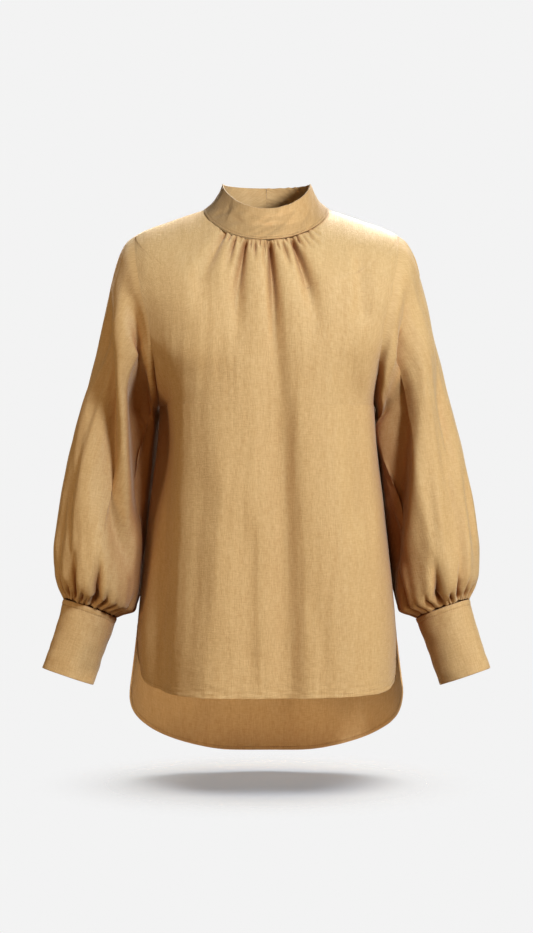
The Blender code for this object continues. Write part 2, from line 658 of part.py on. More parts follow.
def make_sleeve(side, cloth):
    coarse = np.arange(SLEEVE_COLUMNS) * 2 * math.pi / SLEEVE_COLUMNS
    fine = np.arange(2 * SLEEVE_COLUMNS) * math.pi / SLEEVE_COLUMNS
    rows, outward = [], []
    for number, along in enumerate(SLEEVE_ROWS + PUFF_ROWS):
        turn = coarse if number < len(SLEEVE_ROWS) else fine
        along = np.full(turn.shape, along)
        points = sleeve(side, turn, along)
        out = tube_normals(lambda t, a: sleeve(side, t, a), turn, along) * side
        if number == 0:
            down = unit(sleeve(side, turn, along + 0.03) - points)
            points = points + down * ARMHOLE_GAP
            out = armhole_vectors(side, turn, out)
            points[1::2] = (points[0::2] + np.roll(points[0::2], -1, axis=0)) / 2
            out[1::2] = (out[0::2] + np.roll(out[0::2], -1, axis=0)) / 2
        rows.append(points)
        outward.append(out)
    name = "sleeve_left" if side > 0 else "sleeve_right"
    return wall(name, rows[::-1], outward[::-1], WALL, cloth, closed=True, turned=side < 0)


def armhole_vectors(side, turn, out):
    """The sleeve's wall turns to the body's own direction at the top of the armhole."""
    row = SHOULDER_ROW + (UNDERARM_ROW - SHOULDER_ROW) * (1 - np.cos(turn)) / 2
    level = np.ones_like(turn)
    front = normals(lambda a, r: panel("front", a, r), level, row)
    back = normals(lambda a, r: panel("back", a, r), level, row, flip=True)
    body = np.where((np.sin(turn) >= 0)[:, None], front, back)
    body[np.abs(np.sin(turn)) < 1e-6, 1] = 0
    share = smooth_share(turn)[:, None]
    return unit(body * (side, 1, 1) * share + out * (1 - share))


def make_cuff(side, cloth):
    turn = np.arange(SLEEVE_COLUMNS) * 2 * math.pi / SLEEVE_COLUMNS
    rows, outward = [], []
    length = 100 * MM
    for along in (1.0, 0.62, 0.30, 0.06, SEAM_GAP * 1.3 / length):
        here = np.full(turn.shape, along)
        rows.append(ring(CUFF, turn, here) * (side, 1, 1))
        outward.append(tube_normals(lambda t, a: ring(CUFF, t, a), turn, here) * (side, 1, 1))
    name = "cuff_left" if side > 0 else "cuff_right"
    return wall(name, rows, outward, BAND_WALL, cloth, closed=True, turned=side < 0)


COLLAR_ROWS = (0.0, 0.14, 0.3, 0.46, 0.62, 0.8, 1.0)
COLLAR_LIFT = 0.4 * MM


def collar_row(up):
    """One row of the collar, from its end at the middle of the back, round the front, to the other."""
    front = gather_spaced(FRONT_COLUMNS)[1:-1] * QUARTER
    depth = through(COLLAR["up"], COLLAR["back_y"], up) * MM
    back = np.linspace(SLIT_HALF_GAP / depth, QUARTER, BACK_COLUMNS // 2)
    left = collar("back", -back, up)
    right = collar("back", back[::-1], up)
    points = np.concatenate([left, collar("front", front, up), right])
    points[:, 2] += COLLAR_LIFT
    return points


def make_collar(cloth):
    rows, outward = [], []
    for up in COLLAR_ROWS:
        here = collar_row(up)
        above, below = collar_row(min(up + 0.01, 1)), collar_row(max(up - 0.01, 0))
        along = np.gradient(here, axis=0)
        rows.append(here)
        outward.append(unit(np.cross(along, above - below)))
    return wall("collar", rows, outward, BAND_WALL, cloth, turned=True)


def make_material(name, colour, roughness):
    made = bpy.data.materials.new(name)
    made.use_nodes = True
    shader = made.node_tree.nodes["Principled BSDF"]
    shader.inputs["Base Color"].default_value = (*colour, 1)
    shader.inputs["Roughness"].default_value = roughness
    shader.inputs["Metallic"].default_value = 0
    return made


def main():
    for old in list(bpy.data.objects):
        bpy.data.objects.remove(old)
    root = bpy.data.objects.new("blouse", None)
    bpy.context.scene.collection.objects.link(root)
    cloth = make_material("camel_cloth", (0.56, 0.37, 0.165), 0.62)
    make_front(cloth)
    make_back(cloth)
    make_collar(cloth)
    for side in (1, -1):
        make_sleeve(side, cloth)
        make_cuff(side, cloth)
    button = make_material("horn_button", (0.30, 0.17, 0.07), 0.35)
    for place, up in BUTTON_UP.items():
        make_button("button_" + place, up, button)
        make_loop("loop_" + place, up, cloth)


main()
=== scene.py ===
"""The looks of the blouse: fine shells on the forms of its solids, with the creases, gathers, hems and
stitching that the photograph shows, in a plain studio.

Metres, +Z up, the front facing -Y and the wearer's left at +X.
"""

import math

import bpy
import numpy as np
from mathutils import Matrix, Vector


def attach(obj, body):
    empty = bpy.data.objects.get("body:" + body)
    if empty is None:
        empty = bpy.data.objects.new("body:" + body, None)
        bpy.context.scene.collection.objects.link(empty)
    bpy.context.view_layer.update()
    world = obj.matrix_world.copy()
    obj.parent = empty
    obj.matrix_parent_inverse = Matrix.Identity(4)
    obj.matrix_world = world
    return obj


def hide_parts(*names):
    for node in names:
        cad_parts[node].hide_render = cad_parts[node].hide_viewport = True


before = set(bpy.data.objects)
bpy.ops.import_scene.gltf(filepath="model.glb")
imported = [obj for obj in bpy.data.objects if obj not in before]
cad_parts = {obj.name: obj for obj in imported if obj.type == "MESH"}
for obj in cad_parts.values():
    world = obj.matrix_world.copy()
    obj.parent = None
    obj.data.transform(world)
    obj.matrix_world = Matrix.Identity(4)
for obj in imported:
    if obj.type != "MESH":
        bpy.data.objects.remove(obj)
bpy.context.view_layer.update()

MM = 0.001
CLOTH = 0.8 * MM
BAND = 2.2 * MM
HEM_WIDTH = 6.0 * MM
HEM_THICKNESS = 2.1 * CLOTH
STEP = 1e-4
QUARTER = math.pi / 2
SEED = 11

# The torso form, in millimetres, as in the solids.
TORSO = {
    "row":     (0.00, 0.05, 0.14, 0.18, 0.22, 0.29, 0.36, 0.43, 0.64, 0.86, 1.00),
    "front_z": (-46, -74, -112, -131, -150, -190, -229, -268, -418, -570, -755),
    "front_y": (78, 95, 112, 118, 122, 127, 129, 130, 130, 131, 135),
    "side_z":  (3, -10.5, -33, -52, -84, -146, -206, -266, -418, -570, -755),
    "side_x":  (86, 126, 181, 199, 209, 195, 165, 148, 163, 178, 190),
    "back_z":  (7, -22, -74, -97, -120, -165, -216, -268, -418, -570, -755),
    "back_y":  (63, 78, 93, 97, 100, 103, 104, 105, 108, 112, 116),
    "square":  (2.0, 2.05, 2.2, 2.3, 2.4, 2.5, 2.7, 2.85, 2.7, 2.55, 2.45),
    "lean":    (1.2, 1.3, 1.5, 1.5, 1.5, 1.5, 1.5, 1.5, 1.5, 1.5, 1.5),
}
SHOULDER_ROW = 0.14
UNDERARM_ROW = 0.43
VENT_ROW = 0.86
VENT_Z = -570 * MM
ARMHOLE_IN = {"front": math.radians(30), "back": math.radians(24)}
FRONT_HEM_Z = -658 * MM
FRONT_HEM_BOW = 6 * MM
FRONT_CORNER_RISE = 52 * MM
FRONT_CORNER_FROM = 0.66
BACK_HEM_Z = -757 * MM
BACK_HEM_RISE = 104 * MM
BACK_HEM_POWER = 3.3
VENT_FLARE = {"front": -9 * MM, "back": 5 * MM}
VENT_LENGTH = 95 * MM
SLIT_LENGTH = 120 * MM
SLIT_HALF_GAP = 0.02 * MM


def through(knots, values, at):
    """A smooth curve through a table's column that never overshoots it."""
    knots, values = np.asarray(knots, float), np.asarray(values, float)
    gap = np.diff(knots)
    rise = np.diff(values) / gap
    slope = np.concatenate([[rise[0]], np.zeros(len(values) - 2), [rise[-1]]])
    for i in range(1, len(values) - 1):
        if rise[i - 1] * rise[i] > 0:
            near, far = 2 * gap[i] + gap[i - 1], gap[i] + 2 * gap[i - 1]
            slope[i] = (near + far) / (near / rise[i - 1] + far / rise[i])
    at = np.clip(at, knots[0], knots[-1])
    i = np.clip(np.searchsorted(knots, at, side="right") - 1, 0, len(gap) - 1)
    u = (at - knots[i]) / gap[i]
    start = values[i] * (1 + 2 * u) * (1 - u) ** 2 + slope[i] * gap[i] * u * (1 - u) ** 2
    end = values[i + 1] * u**2 * (3 - 2 * u) - slope[i + 1] * gap[i] * u**2 * (1 - u)
    return start + end


def ease(value, low, high):
    """0 at low, 1 at high, and smooth between."""
    u = np.clip((value - low) / (high - low), 0, 1)
    return u * u * (3 - 2 * u)


def unit(vectors):
    return vectors / np.maximum(np.linalg.norm(vectors, axis=-1, keepdims=True), 1e-12)


def hem_height(half, across):
    across = np.abs(across)
    if half == "back":
        return BACK_HEM_Z + BACK_HEM_RISE * across**BACK_HEM_POWER
    corner = np.clip((across - FRONT_CORNER_FROM) / (1 - FRONT_CORNER_FROM), 0, 1)
    return FRONT_HEM_Z + FRONT_HEM_BOW * across**2 + FRONT_CORNER_RISE * (1 - np.sqrt(1 - corner**2))


def torso(half, angle, row):
    """A point of the torso form, at an angle from the middle of its front or back towards +X."""
    angle, row = np.broadcast_arrays(np.asarray(angle, float), np.asarray(row, float))
    way = -1 if half == "front" else 1
    rows = TORSO["row"]
    hang = np.clip((row - VENT_ROW) / (1 - VENT_ROW), 0, None)
    fall = VENT_Z + (hem_height(half, angle / QUARTER) - VENT_Z) * hang
    row = np.where(hang > 0, through(TORSO["side_z"][:6:-1], rows[:6:-1], fall / MM), row)
    depth = through(rows, TORSO[half + "_y"], row) * MM
    width = through(rows, TORSO["side_x"], row) * MM
    square = through(rows, TORSO["square"], row)
    reach = (np.cos(angle) / depth) ** square + (np.abs(np.sin(angle)) / width) ** square
    reach = reach ** (-1 / square)
    forward = np.maximum(reach * np.cos(angle), 0)
    side = through(rows, TORSO["side_z"], row) * MM
    middle = through(rows, TORSO[half + "_z"], row) * MM
    height = side + (middle - side) * (forward / depth) ** through(rows, TORSO["lean"], row)
    flare = VENT_FLARE[half] * np.clip((VENT_Z - fall) / VENT_LENGTH, 0, 1) ** 1.5
    across = reach * np.sin(angle) + flare * np.sin(angle) ** 3
    return np.stack([across, way * forward, np.where(hang > 0, fall, height)], axis=-1)


def panel_edge(half, row):
    down = np.clip((row - SHOULDER_ROW) / (UNDERARM_ROW - SHOULDER_ROW), 0, 1)
    return QUARTER - ARMHOLE_IN[half] * 2 * np.sqrt(down * (1 - down))


# Gathers below the collar: degrees across at the collar, how far they drift, and the trough's depth,
# width and length in millimetres.
GATHERS = {
    "angle":  (-43, -37, -31, -26, -20.5, -15.5, -11, -6.5, -2.8, 3.2, 9.5, 15.5, 20, 25.4, 30.5, 36, 42, 49),
    "drift":  (7, 3, 4, 2, 4, 2, 2, 2, 4, 4, 3, 3, 2, 5, 2, 2, 2, 2),
    "depth":  (7, 2.4, 7, 2.6, 12.5, 3.0, 5.0, 2.4, 5.6, 15, 3.2, 6.0, 2.6, 13.5, 4.6, 3.0, 3.6, 2.2),
    "width":  (4.2, 1.6, 2.6, 1.6, 3.4, 1.6, 2.0, 1.4, 2.6, 3.2, 1.6, 2.6, 1.5, 3.4, 1.9, 1.8, 2.0, 1.8),
    "length": (220, 30, 84, 28, 210, 28, 48, 26, 70, 260, 30, 70, 26, 220, 34, 44, 40, 26),
}
GATHER_PUFF = 3.0 * MM
GATHER_HALF_SPAN = math.radians(50)
FINE_GATHERS = 54


def gathers(angle, below):
    """How far the gathered front stands out of its form; below is the distance under the collar."""
    out = GATHER_PUFF * ease(below, -0.004, 0.014) * (1 - ease(below, 0.03, 0.17))
    out = out * (1 - ease(np.abs(angle), 0.6 * GATHER_HALF_SPAN, 1.2 * GATHER_HALF_SPAN))
    for centre, drift, depth, width, length in zip(*GATHERS.values()):
        fade = (1 - ease(below, 0.25 * length * MM, length * MM)) ** 1.3
        start = 0.14 + 0.86 * ease(below, -0.001, 0.010)
        radius = 0.080 + 0.35 * below
        turned = math.radians(centre) + math.radians(drift) * below / (length * MM)
        off = (angle - turned) * radius / (width * MM * (1 + 22 * below))
        out = out - depth * MM * fade * start / (1 + off**2) ** 1.6
    random = np.random.default_rng(SEED)
    for _ in range(FINE_GATHERS):
        centre = random.uniform(-52, 54)
        depth, width = random.uniform(0.4, 1.2), random.uniform(0.7, 1.6)
        length = random.uniform(7, 26)
        fade = 1 - ease(below, 0.2 * length * MM, length * MM)
        off = (angle - math.radians(centre)) * (0.080 + 0.35 * below) / (width * MM * (1 + 25 * below))
        out = out - depth * MM * fade * np.exp(-(off**2))
    return out


# Long folds of the torso, in millimetres: where each starts and ends, seen from the front, how far it
# bows to +X halfway, how far it reaches to its left and right at the top, how many times wider it is
# at the bottom, and how deep it is; a negative depth is a ridge.
FRONT_FOLDS = {
    "top_x":    (10, -140, -60, 126, -14, -104, 92, -22, 60, 118, -70),
    "top_z":    (-135, -165, -230, -50, -560, -60, -330, -400, -480, -190, -330),
    "bottom_x": (22, -160, -88, 130, -40, -108, 104, -24, 84, 140, -92),
    "bottom_z": (-900, -900, -900, -165, -720, -230, -900, -640, -720, -460, -560),
    "bow":      (12, -6, 0, 0, 0, 0, 0, 0, 0, 0, 0),
    "left":     (26, 14, 20, 10, 16, 34, 24, 14, 12, 26, 14),
    "right":    (14, 27, 22, 12, 14, 34, 26, 10, 12, 10, 12),
    "spread":   (1.5, 1.2, 1.2, 1.3, 1.2, 1.2, 1.3, 1.2, 1.2, 1.2, 1.2),
    "depth":    (12, 20, -6, 5.0, 2.0, -5.0, -4.0, 4.0, 2.0, 8.0, 2.5),
}
BACK_FOLDS = {
    "top_x":    (-60, 58, 2, -128, 126, -94, 96),
    "top_z":    (-190, -200, -150, -300, -300, -90, -84),
    "bottom_x": (-78, 80, 6, -150, 148, -122, 124),
    "bottom_z": (-900, -900, -800, -900, -900, -210, -200),
    "bow":      (6, -8, 4, 0, 0, 0, 0),
    "left":     (24, 26, 22, 24, 24, 14, 14),
    "right":    (24, 26, 22, 24, 24, 14, 14),
    "spread":   (1.6, 1.5, 1.5, 1.3, 1.3, 1.4, 1.4),
    "depth":    (7.0, 6.5, -4.0, 3.0, 3.0, 4.5, 4.0),
}


def long_folds(table, x, z):
    """The folds of one table, added up, at places seen from the front."""
    out = np.zeros_like(x)
    columns = [table[name] for name in FRONT_FOLDS]
    for top_x, top_z, bottom_x, bottom_z, bow, left, right, spread, depth in zip(*columns):
        along = (top_z * MM - z) / ((top_z - bottom_z) * MM)
        inside = np.clip(along, 0, 1)
        centre = top_x + (bottom_x - top_x) * along + 4 * bow * inside * (1 - inside)
        away = x - centre * MM
        wide = np.where(away < 0, left, right) * MM * (1 + (spread - 1) * inside)
        shown = ease(along, -0.02, 0.28) * (1 - ease(along, 0.80, 1.05))
        out = out - depth * MM * shown * np.exp(-((away / wide) ** 2))
    return out


def normals(place, across, row, flip=False):
    """Unit vectors out of a surface, from small steps along it."""
    a0, a1 = np.maximum(across - STEP, -1), np.minimum(across + STEP, 1)
    r0, r1 = np.maximum(row - STEP, 0), np.minimum(row + STEP, 1)
    along = place(a1, row) - place(a0, row)
    down = place(across, r1) - place(across, r0)
    out = unit(np.cross(down, along))
    return -out if flip else out


def crumple(x, z, wide, tall, height, seed):
    """Soft random unevenness of a surface, longer one way than the other."""
    random = np.random.default_rng(seed)
    out = np.zeros_like(x)
    for _ in range(16):
        turn = random.uniform(0, 2 * math.pi)
        kx = random.normal(0, 1) / wide
        kz = random.normal(0, 1) / tall
        out = out + np.sin(2 * math.pi * (kx * x + kz * z) + turn)
    return out * height / 4


def run_length(points, axis):
    """The distance from the first row or column, along the surface."""
    step = np.linalg.norm(np.diff(points, axis=axis), axis=-1)
    zero = np.zeros_like(np.take(step, [0], axis=axis))
    return np.concatenate([zero, np.cumsum(step, axis=axis)], axis=axis)


def panel(half, across, row):
    """A grid of points of the front or the back with its folds, and the distance from its edges."""

    def place(across, row):
        return torso(half, across * panel_edge(half, row), row)

    across, row = np.meshgrid(across, row)
    points = place(across, row)
    out = normals(place, across, row, flip=half == "back")
    x, z = points[..., 0], points[..., 2]
    across_run = run_length(points, 1)
    from_side = np.minimum(across_run, across_run[:, -1:] - across_run)
    down_run = run_length(points, 0)
    from_hem = down_run[-1:] - down_run
    if half == "front":
        moved = long_folds(FRONT_FOLDS, x, z)
        moved += gathers(across * panel_edge(half, row), down_run)
        moved += crumple(x, z, 0.05, 0.18, 0.5 * MM, 3) * ease(down_run, 0.05, 0.2)
        moved += crumple(x, z, 0.035, 0.010, 0.28 * MM, 6) * ease(-z, 0.55, 0.63)
    else:
        moved = long_folds(BACK_FOLDS, x, z)
        moved += crumple(x, z, 0.05, 0.18, 0.5 * MM, 4)
    moved += crumple(x, z, 0.012, 0.06, 0.12 * MM, 5)
    moved *= ease(from_side, 0, 0.03)
    vent = (row > VENT_ROW - 0.002) & (from_side < HEM_WIDTH)
    hem = np.minimum(from_hem, np.where(vent, from_side, 1))
    moved += hem_relief(hem, across_run)
    seam = np.where((row > UNDERARM_ROW) & (row < VENT_ROW), from_side, 1)
    moved -= 0.15 * MM * np.exp(-((seam / (1.4 * MM)) ** 2))
    moved -= 0.3 * MM * np.exp(-((down_run / (1.6 * MM)) ** 2))
    return points + out * moved[..., None], across_run, down_run, hem


def hem_relief(hem, along):
    """A turned hem stands out a little, dips at its stitches and puckers between them."""
    band = 0.35 * MM * (1 - ease(hem, HEM_WIDTH - 0.6 * MM, HEM_WIDTH + 0.6 * MM))
    groove = 0.35 * MM * np.exp(-(((hem - HEM_WIDTH + 1.2 * MM) / (0.9 * MM)) ** 2))
    pucker = np.sin(along * 2 * math.pi / 0.011 + 2 * np.sin(along * 2 * math.pi / 0.047))
    return band - groove + 0.10 * MM * pucker * (1 - ease(hem, 0.5 * HEM_WIDTH, 2.4 * HEM_WIDTH))


# The sleeve, in millimetres, from the armhole to the cuff, for the sleeve at +X.
SLEEVE = {
    "along":    (0.00, 0.03, 0.07, 0.18, 0.276, 0.41, 0.54, 0.67, 0.80, 0.864, 0.93, 0.965, 1.00),
    "outer_x":  (181, 191.5, 200.5, 218, 230, 247, 264, 280, 291, 294, 293, 289, 280),
    "outer_z":  (-33, -42, -58, -115, -168, -235, -301, -367, -433, -466, -498, -516, -534),
    "inner_x":  (148, 149, 151, 152, 150, 138, 134, 139, 152, 162, 172, 181, 206),
    "inner_z":  (-266, -268, -272, -281, -292, -310, -338, -385, -446, -486, -526, -552, -560),
    "centre_y": (0, 0, 0, 1, 3, 6, 9, 10, 9, 7, 3, 0, -3),
    "front":    (72, 75, 77, 76, 73, 68, 66, 67, 70, 71, 66, 55, 33),
    "back":     (66, 69, 71, 71, 69, 66, 66, 68, 70, 71, 66, 55, 33),
    "lift":     (0, 0, 0, 0, 0, 0, 0, 0, 1, 2, 3, 4, 5.5),
    "pinch":    (0, 0, 0.03, 0.20, 0.42, 0.55, 0.56, 0.48, 0.34, 0.24, 0.10, 0.03, 0),
}
CUFF = {
    "along":    (0.0, 0.3, 1.0),
    "outer_x":  (280, 286.4, 307.5),
    "outer_z":  (-534, -562, -627.5),
    "inner_x":  (206, 216, 238),
    "inner_z":  (-560, -588, -651),
    "centre_y": (-3, -6.6, -15),
    "front":    (33, 32.2, 31),
    "back":     (33, 32.2, 31),
    "lift":     (5.5, 4.5, 3.0),
    "pinch":    (0, 0, 0),
}
ARMHOLE_BLEND = 0.35
SMOOTH_REACH = 0.16
BODY_CLEARANCE = 2.0 * MM
TUCK = 14.0 * MM


def armhole(turn):
    row = SHOULDER_ROW + (UNDERARM_ROW - SHOULDER_ROW) * (1 - np.cos(turn)) / 2
    front = torso("front", panel_edge("front", row), row)
    back = torso("back", panel_edge("back", row), row)
    return np.where((np.sin(turn) >= 0)[..., None], front, back)


def past_armhole(turn):
    """The way the body's surface runs on past the armhole seam, square to the seam."""
    row = SHOULDER_ROW + (UNDERARM_ROW - SHOULDER_ROW) * (1 - np.cos(turn)) / 2
    sides = []
    for half, way in (("front", 1), ("back", -1)):
        angle = panel_edge(half, row)
        down = torso(half, angle, row + STEP) - torso(half, angle, row - STEP)
        along = torso(half, angle, row) - torso(half, angle - STEP, row)
        sides.append(unit(np.cross(down, along)) * way)
    out = np.where((np.sin(turn) >= 0)[..., None], *sides)
    return unit(np.cross(out, armhole(turn + STEP) - armhole(turn - STEP)))


def smooth_share(turn):
    """How smoothly the sleeve leaves the body: 1 over the shoulder, 0 under the arm."""
    return ease(np.cos(turn), -0.75, 0.1)


def ring(table, turn, along):
    """A point of the sleeve's or the cuff's form, before folds."""

    def column(name):
        return through(table["along"], table[name], along) * MM

    x = (column("outer_x") + column("inner_x")) / 2
    z = (column("outer_z") + column("inner_z")) / 2
    reach_x = (column("outer_x") - column("inner_x")) / 2
    reach_z = (column("outer_z") - column("inner_z")) / 2
    pinch = through(table["along"], table["pinch"], along) * ease(-np.cos(turn), 0, 0.85)
    depth = np.where(np.sin(turn) >= 0, column("front") * (1 - pinch), column("back"))
    x = x + reach_x * np.cos(turn)
    y = column("centre_y") - depth * np.sin(turn)
    z = z + reach_z * np.cos(turn) + column("lift") * np.sin(turn)
    return np.stack([x, y, z], axis=-1)


def body_side(y, z):
    """How far out the body reaches, below the armhole, at a depth and a height."""
    levels, low = TORSO["side_z"][:6:-1], z / MM
    width = through(levels, TORSO["side_x"][:6:-1], low) * MM
    square = through(levels, TORSO["square"][:6:-1], low)
    front = through(levels, TORSO["front_y"][:6:-1], low) * MM
    back = through(levels, TORSO["back_y"][:6:-1], low) * MM
    share = np.clip(np.abs(y) / np.where(y < 0, front, back), 0, 1)
    return width * (1 - share**square) ** (1 / square)


def sleeve_form(turn, along):
    """A point of the sleeve before folds: rings that start on the armhole and hang beside the body."""
    start = armhole(turn) - ring(SLEEVE, turn, 0 * along)
    points = ring(SLEEVE, turn, along) + start * (1 - ease(along, 0, ARMHOLE_BLEND))[..., None]
    slope = (ring(SLEEVE, turn, 0 * along + STEP) - ring(SLEEVE, turn, 0 * along)) / STEP
    smooth = past_armhole(turn) * np.linalg.norm(slope, axis=-1, keepdims=True) - slope
    fading = smooth_share(turn) * along * np.clip(1 - along / SMOOTH_REACH, 0, 1) ** 2
    points = points + smooth * fading[..., None]
    x, y, z = points[..., 0], points[..., 1], points[..., 2]
    tucked = ease(-np.cos(turn), 0.30, 0.80) * ease(-np.sin(turn), 0.02, 0.40)
    x = x - TUCK * tucked * ease(along, 0.08, 0.26) * (1 - ease(along, 0.62, 0.82))
    limit = body_side(y, z) + BODY_CLEARANCE
    beyond = x - limit
    clear = limit + (beyond + np.hypot(beyond, 2 * MM)) / 2
    x = x + (clear - x) * ease(along, 0.10, 0.28)
    return np.stack([x, y, z], axis=-1)


def tube_normals(place, turn, along):
    a0, a1 = np.maximum(along - STEP, 0), np.minimum(along + STEP, 1)
    round_it = place(turn + STEP, along) - place(turn - STEP, along)
    down = place(turn, a1) - place(turn, a0)
    return unit(np.cross(round_it, down))


# Long folds of each sleeve, as above, seen from the front for the sleeve at +X. facing is 1 on the
# front and -1 on the back.
LEFT_SLEEVE_FOLDS = {
    "top_x":    (192, 217, 236, 150, 262, 162, 206, 246, 178),
    "top_z":    (-80, -120, -190, -180, -380, -160, -90, -200, -140),
    "bottom_x": (150, 186, 262, 146, 268, 148, 186, 266, 190),
    "bottom_z": (-540, -500, -500, -290, -540, -400, -400, -500, -300),
    "bow":      (5, 5, 0, 0, 3, 0, 0, 0, 0),
    "left":     (11, 8, 10, 8, 8, 9, 12, 14, 12),
    "right":    (19, 14, 8, 6, 5, 8, 12, 14, 12),
    "spread":   (1.1, 1.3, 1.2, 1.0, 1.0, 1.0, 1.3, 1.0, 1.0),
    "depth":    (23, -5, 7, 2, 4, -5, 10, 5, -3),
    "facing":   (1, 1, 1, 1, 1, 1, -1, -1, -1),
}
RIGHT_SLEEVE_FOLDS = {
    "top_x":    (192, 170, 219, 202, 264, 246, 208, 246),
    "top_z":    (-60, -30, -90, -90, -350, -200, -90, -220),
    "bottom_x": (182, 156, 191, 182, 272, 258, 188, 262),
    "bottom_z": (-130, -460, -490, -440, -550, -440, -420, -500),
    "bow":      (4, 5, 7, 4, 2, 0, 0, 0),
    "left":     (9, 15, 8, 9, 5, 12, 12, 14),
    "right":    (12, 15, 26, 9, 8, 12, 12, 14),
    "spread":   (1.0, 1.2, 1.1, 1.1, 1.0, 1.2, 1.3, 1.0),
    "depth":    (3, 21, 20, -5, 4.5, -3, 9, 5),
    "facing":   (1, 1, 1, 1, 1, 1, -1, -1),
}
SIDE_FOLDS = {
    "from_turn": (-34, 32, -62, 26, -104),
    "to_turn":   (-22, 42, -44, 32, -92),
    "start":     (0.06, 0.28, 0.32, 0.58, 0.20),
    "end":       (0.60, 0.78, 0.86, 0.96, 0.70),
    "wide":      (10, 11, 10, 9, 10),
    "depth":     (5, 4, 6, 4, 5),
}
SLEEVE_RADIUS = 68

# Gathers above each cuff: degrees round the sleeve from its outside, towards the front, and the
# trough's depth, width and length in millimetres.
LEFT_CUFF_GATHERS = {
    "turn":   (6, 24, 41, 58, 73, 92, 110, 126, 146, 166, 188, 210, 232, 254, 276, 298, 320, 342),
    "depth":  (4, 4, 6, 9, 6, 13, 7, 6, 12, 6, 7, 8, 9, 8, 10, 7, 8, 6),
    "width":  (5, 5, 5, 5, 4, 9, 4, 4, 8, 6, 8, 7, 7, 6, 7, 5, 7, 6),
    "length": (45, 30, 45, 62, 30, 88, 38, 34, 84, 50, 70, 50, 75, 50, 90, 45, 65, 45),
}
RIGHT_CUFF_GATHERS = {
    "turn":   (8, 27, 42, 58, 73, 93, 109, 124, 138, 152, 172, 192, 212, 234, 256, 278, 300, 330),
    "depth":  (5, 7, 5, 10, 6, 13, 7, 6, 5, 8, 8, 7, 8, 9, 8, 10, 7, 8),
    "width":  (5, 5, 4, 6, 4, 9, 5, 4, 4, 6, 7, 7, 7, 7, 6, 7, 5, 7),
    "length": (50, 60, 34, 90, 34, 88, 44, 34, 30, 50, 60, 50, 50, 75, 50, 90, 45, 65),
}
CUFF_PLEAT = 1.5
FINE_CUFF_GATHERS = 46


def side_folds(turn, along):
    out = np.zeros_like(along)
    for first, last, start, end, wide, depth in zip(*SIDE_FOLDS.values()):
        part = (along - start) / (end - start)
        centre = math.radians(first) + math.radians(last - first) * part
        away = (turn - centre + math.pi) % (2 * math.pi) - math.pi
        shown = ease(part, 0, 0.35) * (1 - ease(part, 0.65, 1))
        out = out - depth * MM * shown * np.exp(-((away * SLEEVE_RADIUS / wide) ** 2))
    return out


def cuff_gathers(table, turn, above, seed):
    """How far the sleeve moves out near the cuff; above is the distance up from the cuff seam."""
    out = np.zeros_like(above)
    for centre, depth, width, length in zip(*table.values()):
        away = np.abs((turn - math.radians(centre) + math.pi) % (2 * math.pi) - math.pi)
        fade = 1 - ease(above, 0.25 * length * MM, length * MM)
        start = 0.12 + 0.88 * ease(above, 0, 0.011)
        radius = 0.036 + 0.32 * np.minimum(above, 0.1)
        off = away * radius / (width * MM * (0.30 + 8 * np.minimum(above, 0.1)))
        out = out - CUFF_PLEAT * depth * MM * fade * start / (1 + off**2) ** 1.5
    random = np.random.default_rng(seed)
    for _ in range(FINE_CUFF_GATHERS):
        centre = random.uniform(0, 2 * math.pi)
        depth, width = random.uniform(0.6, 2.0), random.uniform(1.0, 2.2)
        length = random.uniform(12, 40)
        away = np.abs((turn - centre + math.pi) % (2 * math.pi) - math.pi)
        fade = 1 - ease(above, 0.2 * length * MM, length * MM)
        off = away * (0.036 + 0.32 * np.minimum(above, 0.1)) / (width * MM * (0.6 + 25 * above))
        out = out - depth * MM * fade * np.exp(-(off**2))
    return out


def sleeve(side, turn, along):
    """A grid of points of a sleeve with its folds; side is 1 at +X and -1 at -X."""
    turn, along = np.meshgrid(turn, along)
    points = sleeve_form(turn, along)
    out = tube_normals(sleeve_form, turn, along)
    folds = LEFT_SLEEVE_FOLDS if side > 0 else RIGHT_SLEEVE_FOLDS
    moved = np.zeros_like(points[..., 0])
    for facing in (1, -1):
        shown = ease(facing * np.sin(turn), -0.1, 0.35)
        rows = [i for i, way in enumerate(folds["facing"]) if way == facing]
        table = {name: [folds[name][i] for i in rows] for name in folds if name != "facing"}
        moved += shown * long_folds(table, points[..., 0], points[..., 2])
    above = np.linalg.norm(points - ring(SLEEVE, turn, 0 * along + 1), axis=-1)
    down = run_length(points, 0)
    beside_body = ease(-np.cos(turn), 0.72, 0.99) * (1 - ease(along, 0.70, 0.85))
    moved = (moved + side_folds(turn, along)) * ease(along, 0, 0.12) * (1 - 0.85 * beside_body)
    table = LEFT_CUFF_GATHERS if side > 0 else RIGHT_CUFF_GATHERS
    moved += cuff_gathers(table, turn, above, SEED + side)
    around = SLEEVE_RADIUS * MM * np.minimum(turn, 2 * math.pi - turn)
    moved += crumple(around, down, 0.04, 0.15, 0.7 * MM, 7 + side) * ease(down, 0, 0.05)
    points = points + out * moved[..., None]
    return points * (side, 1, 1), down


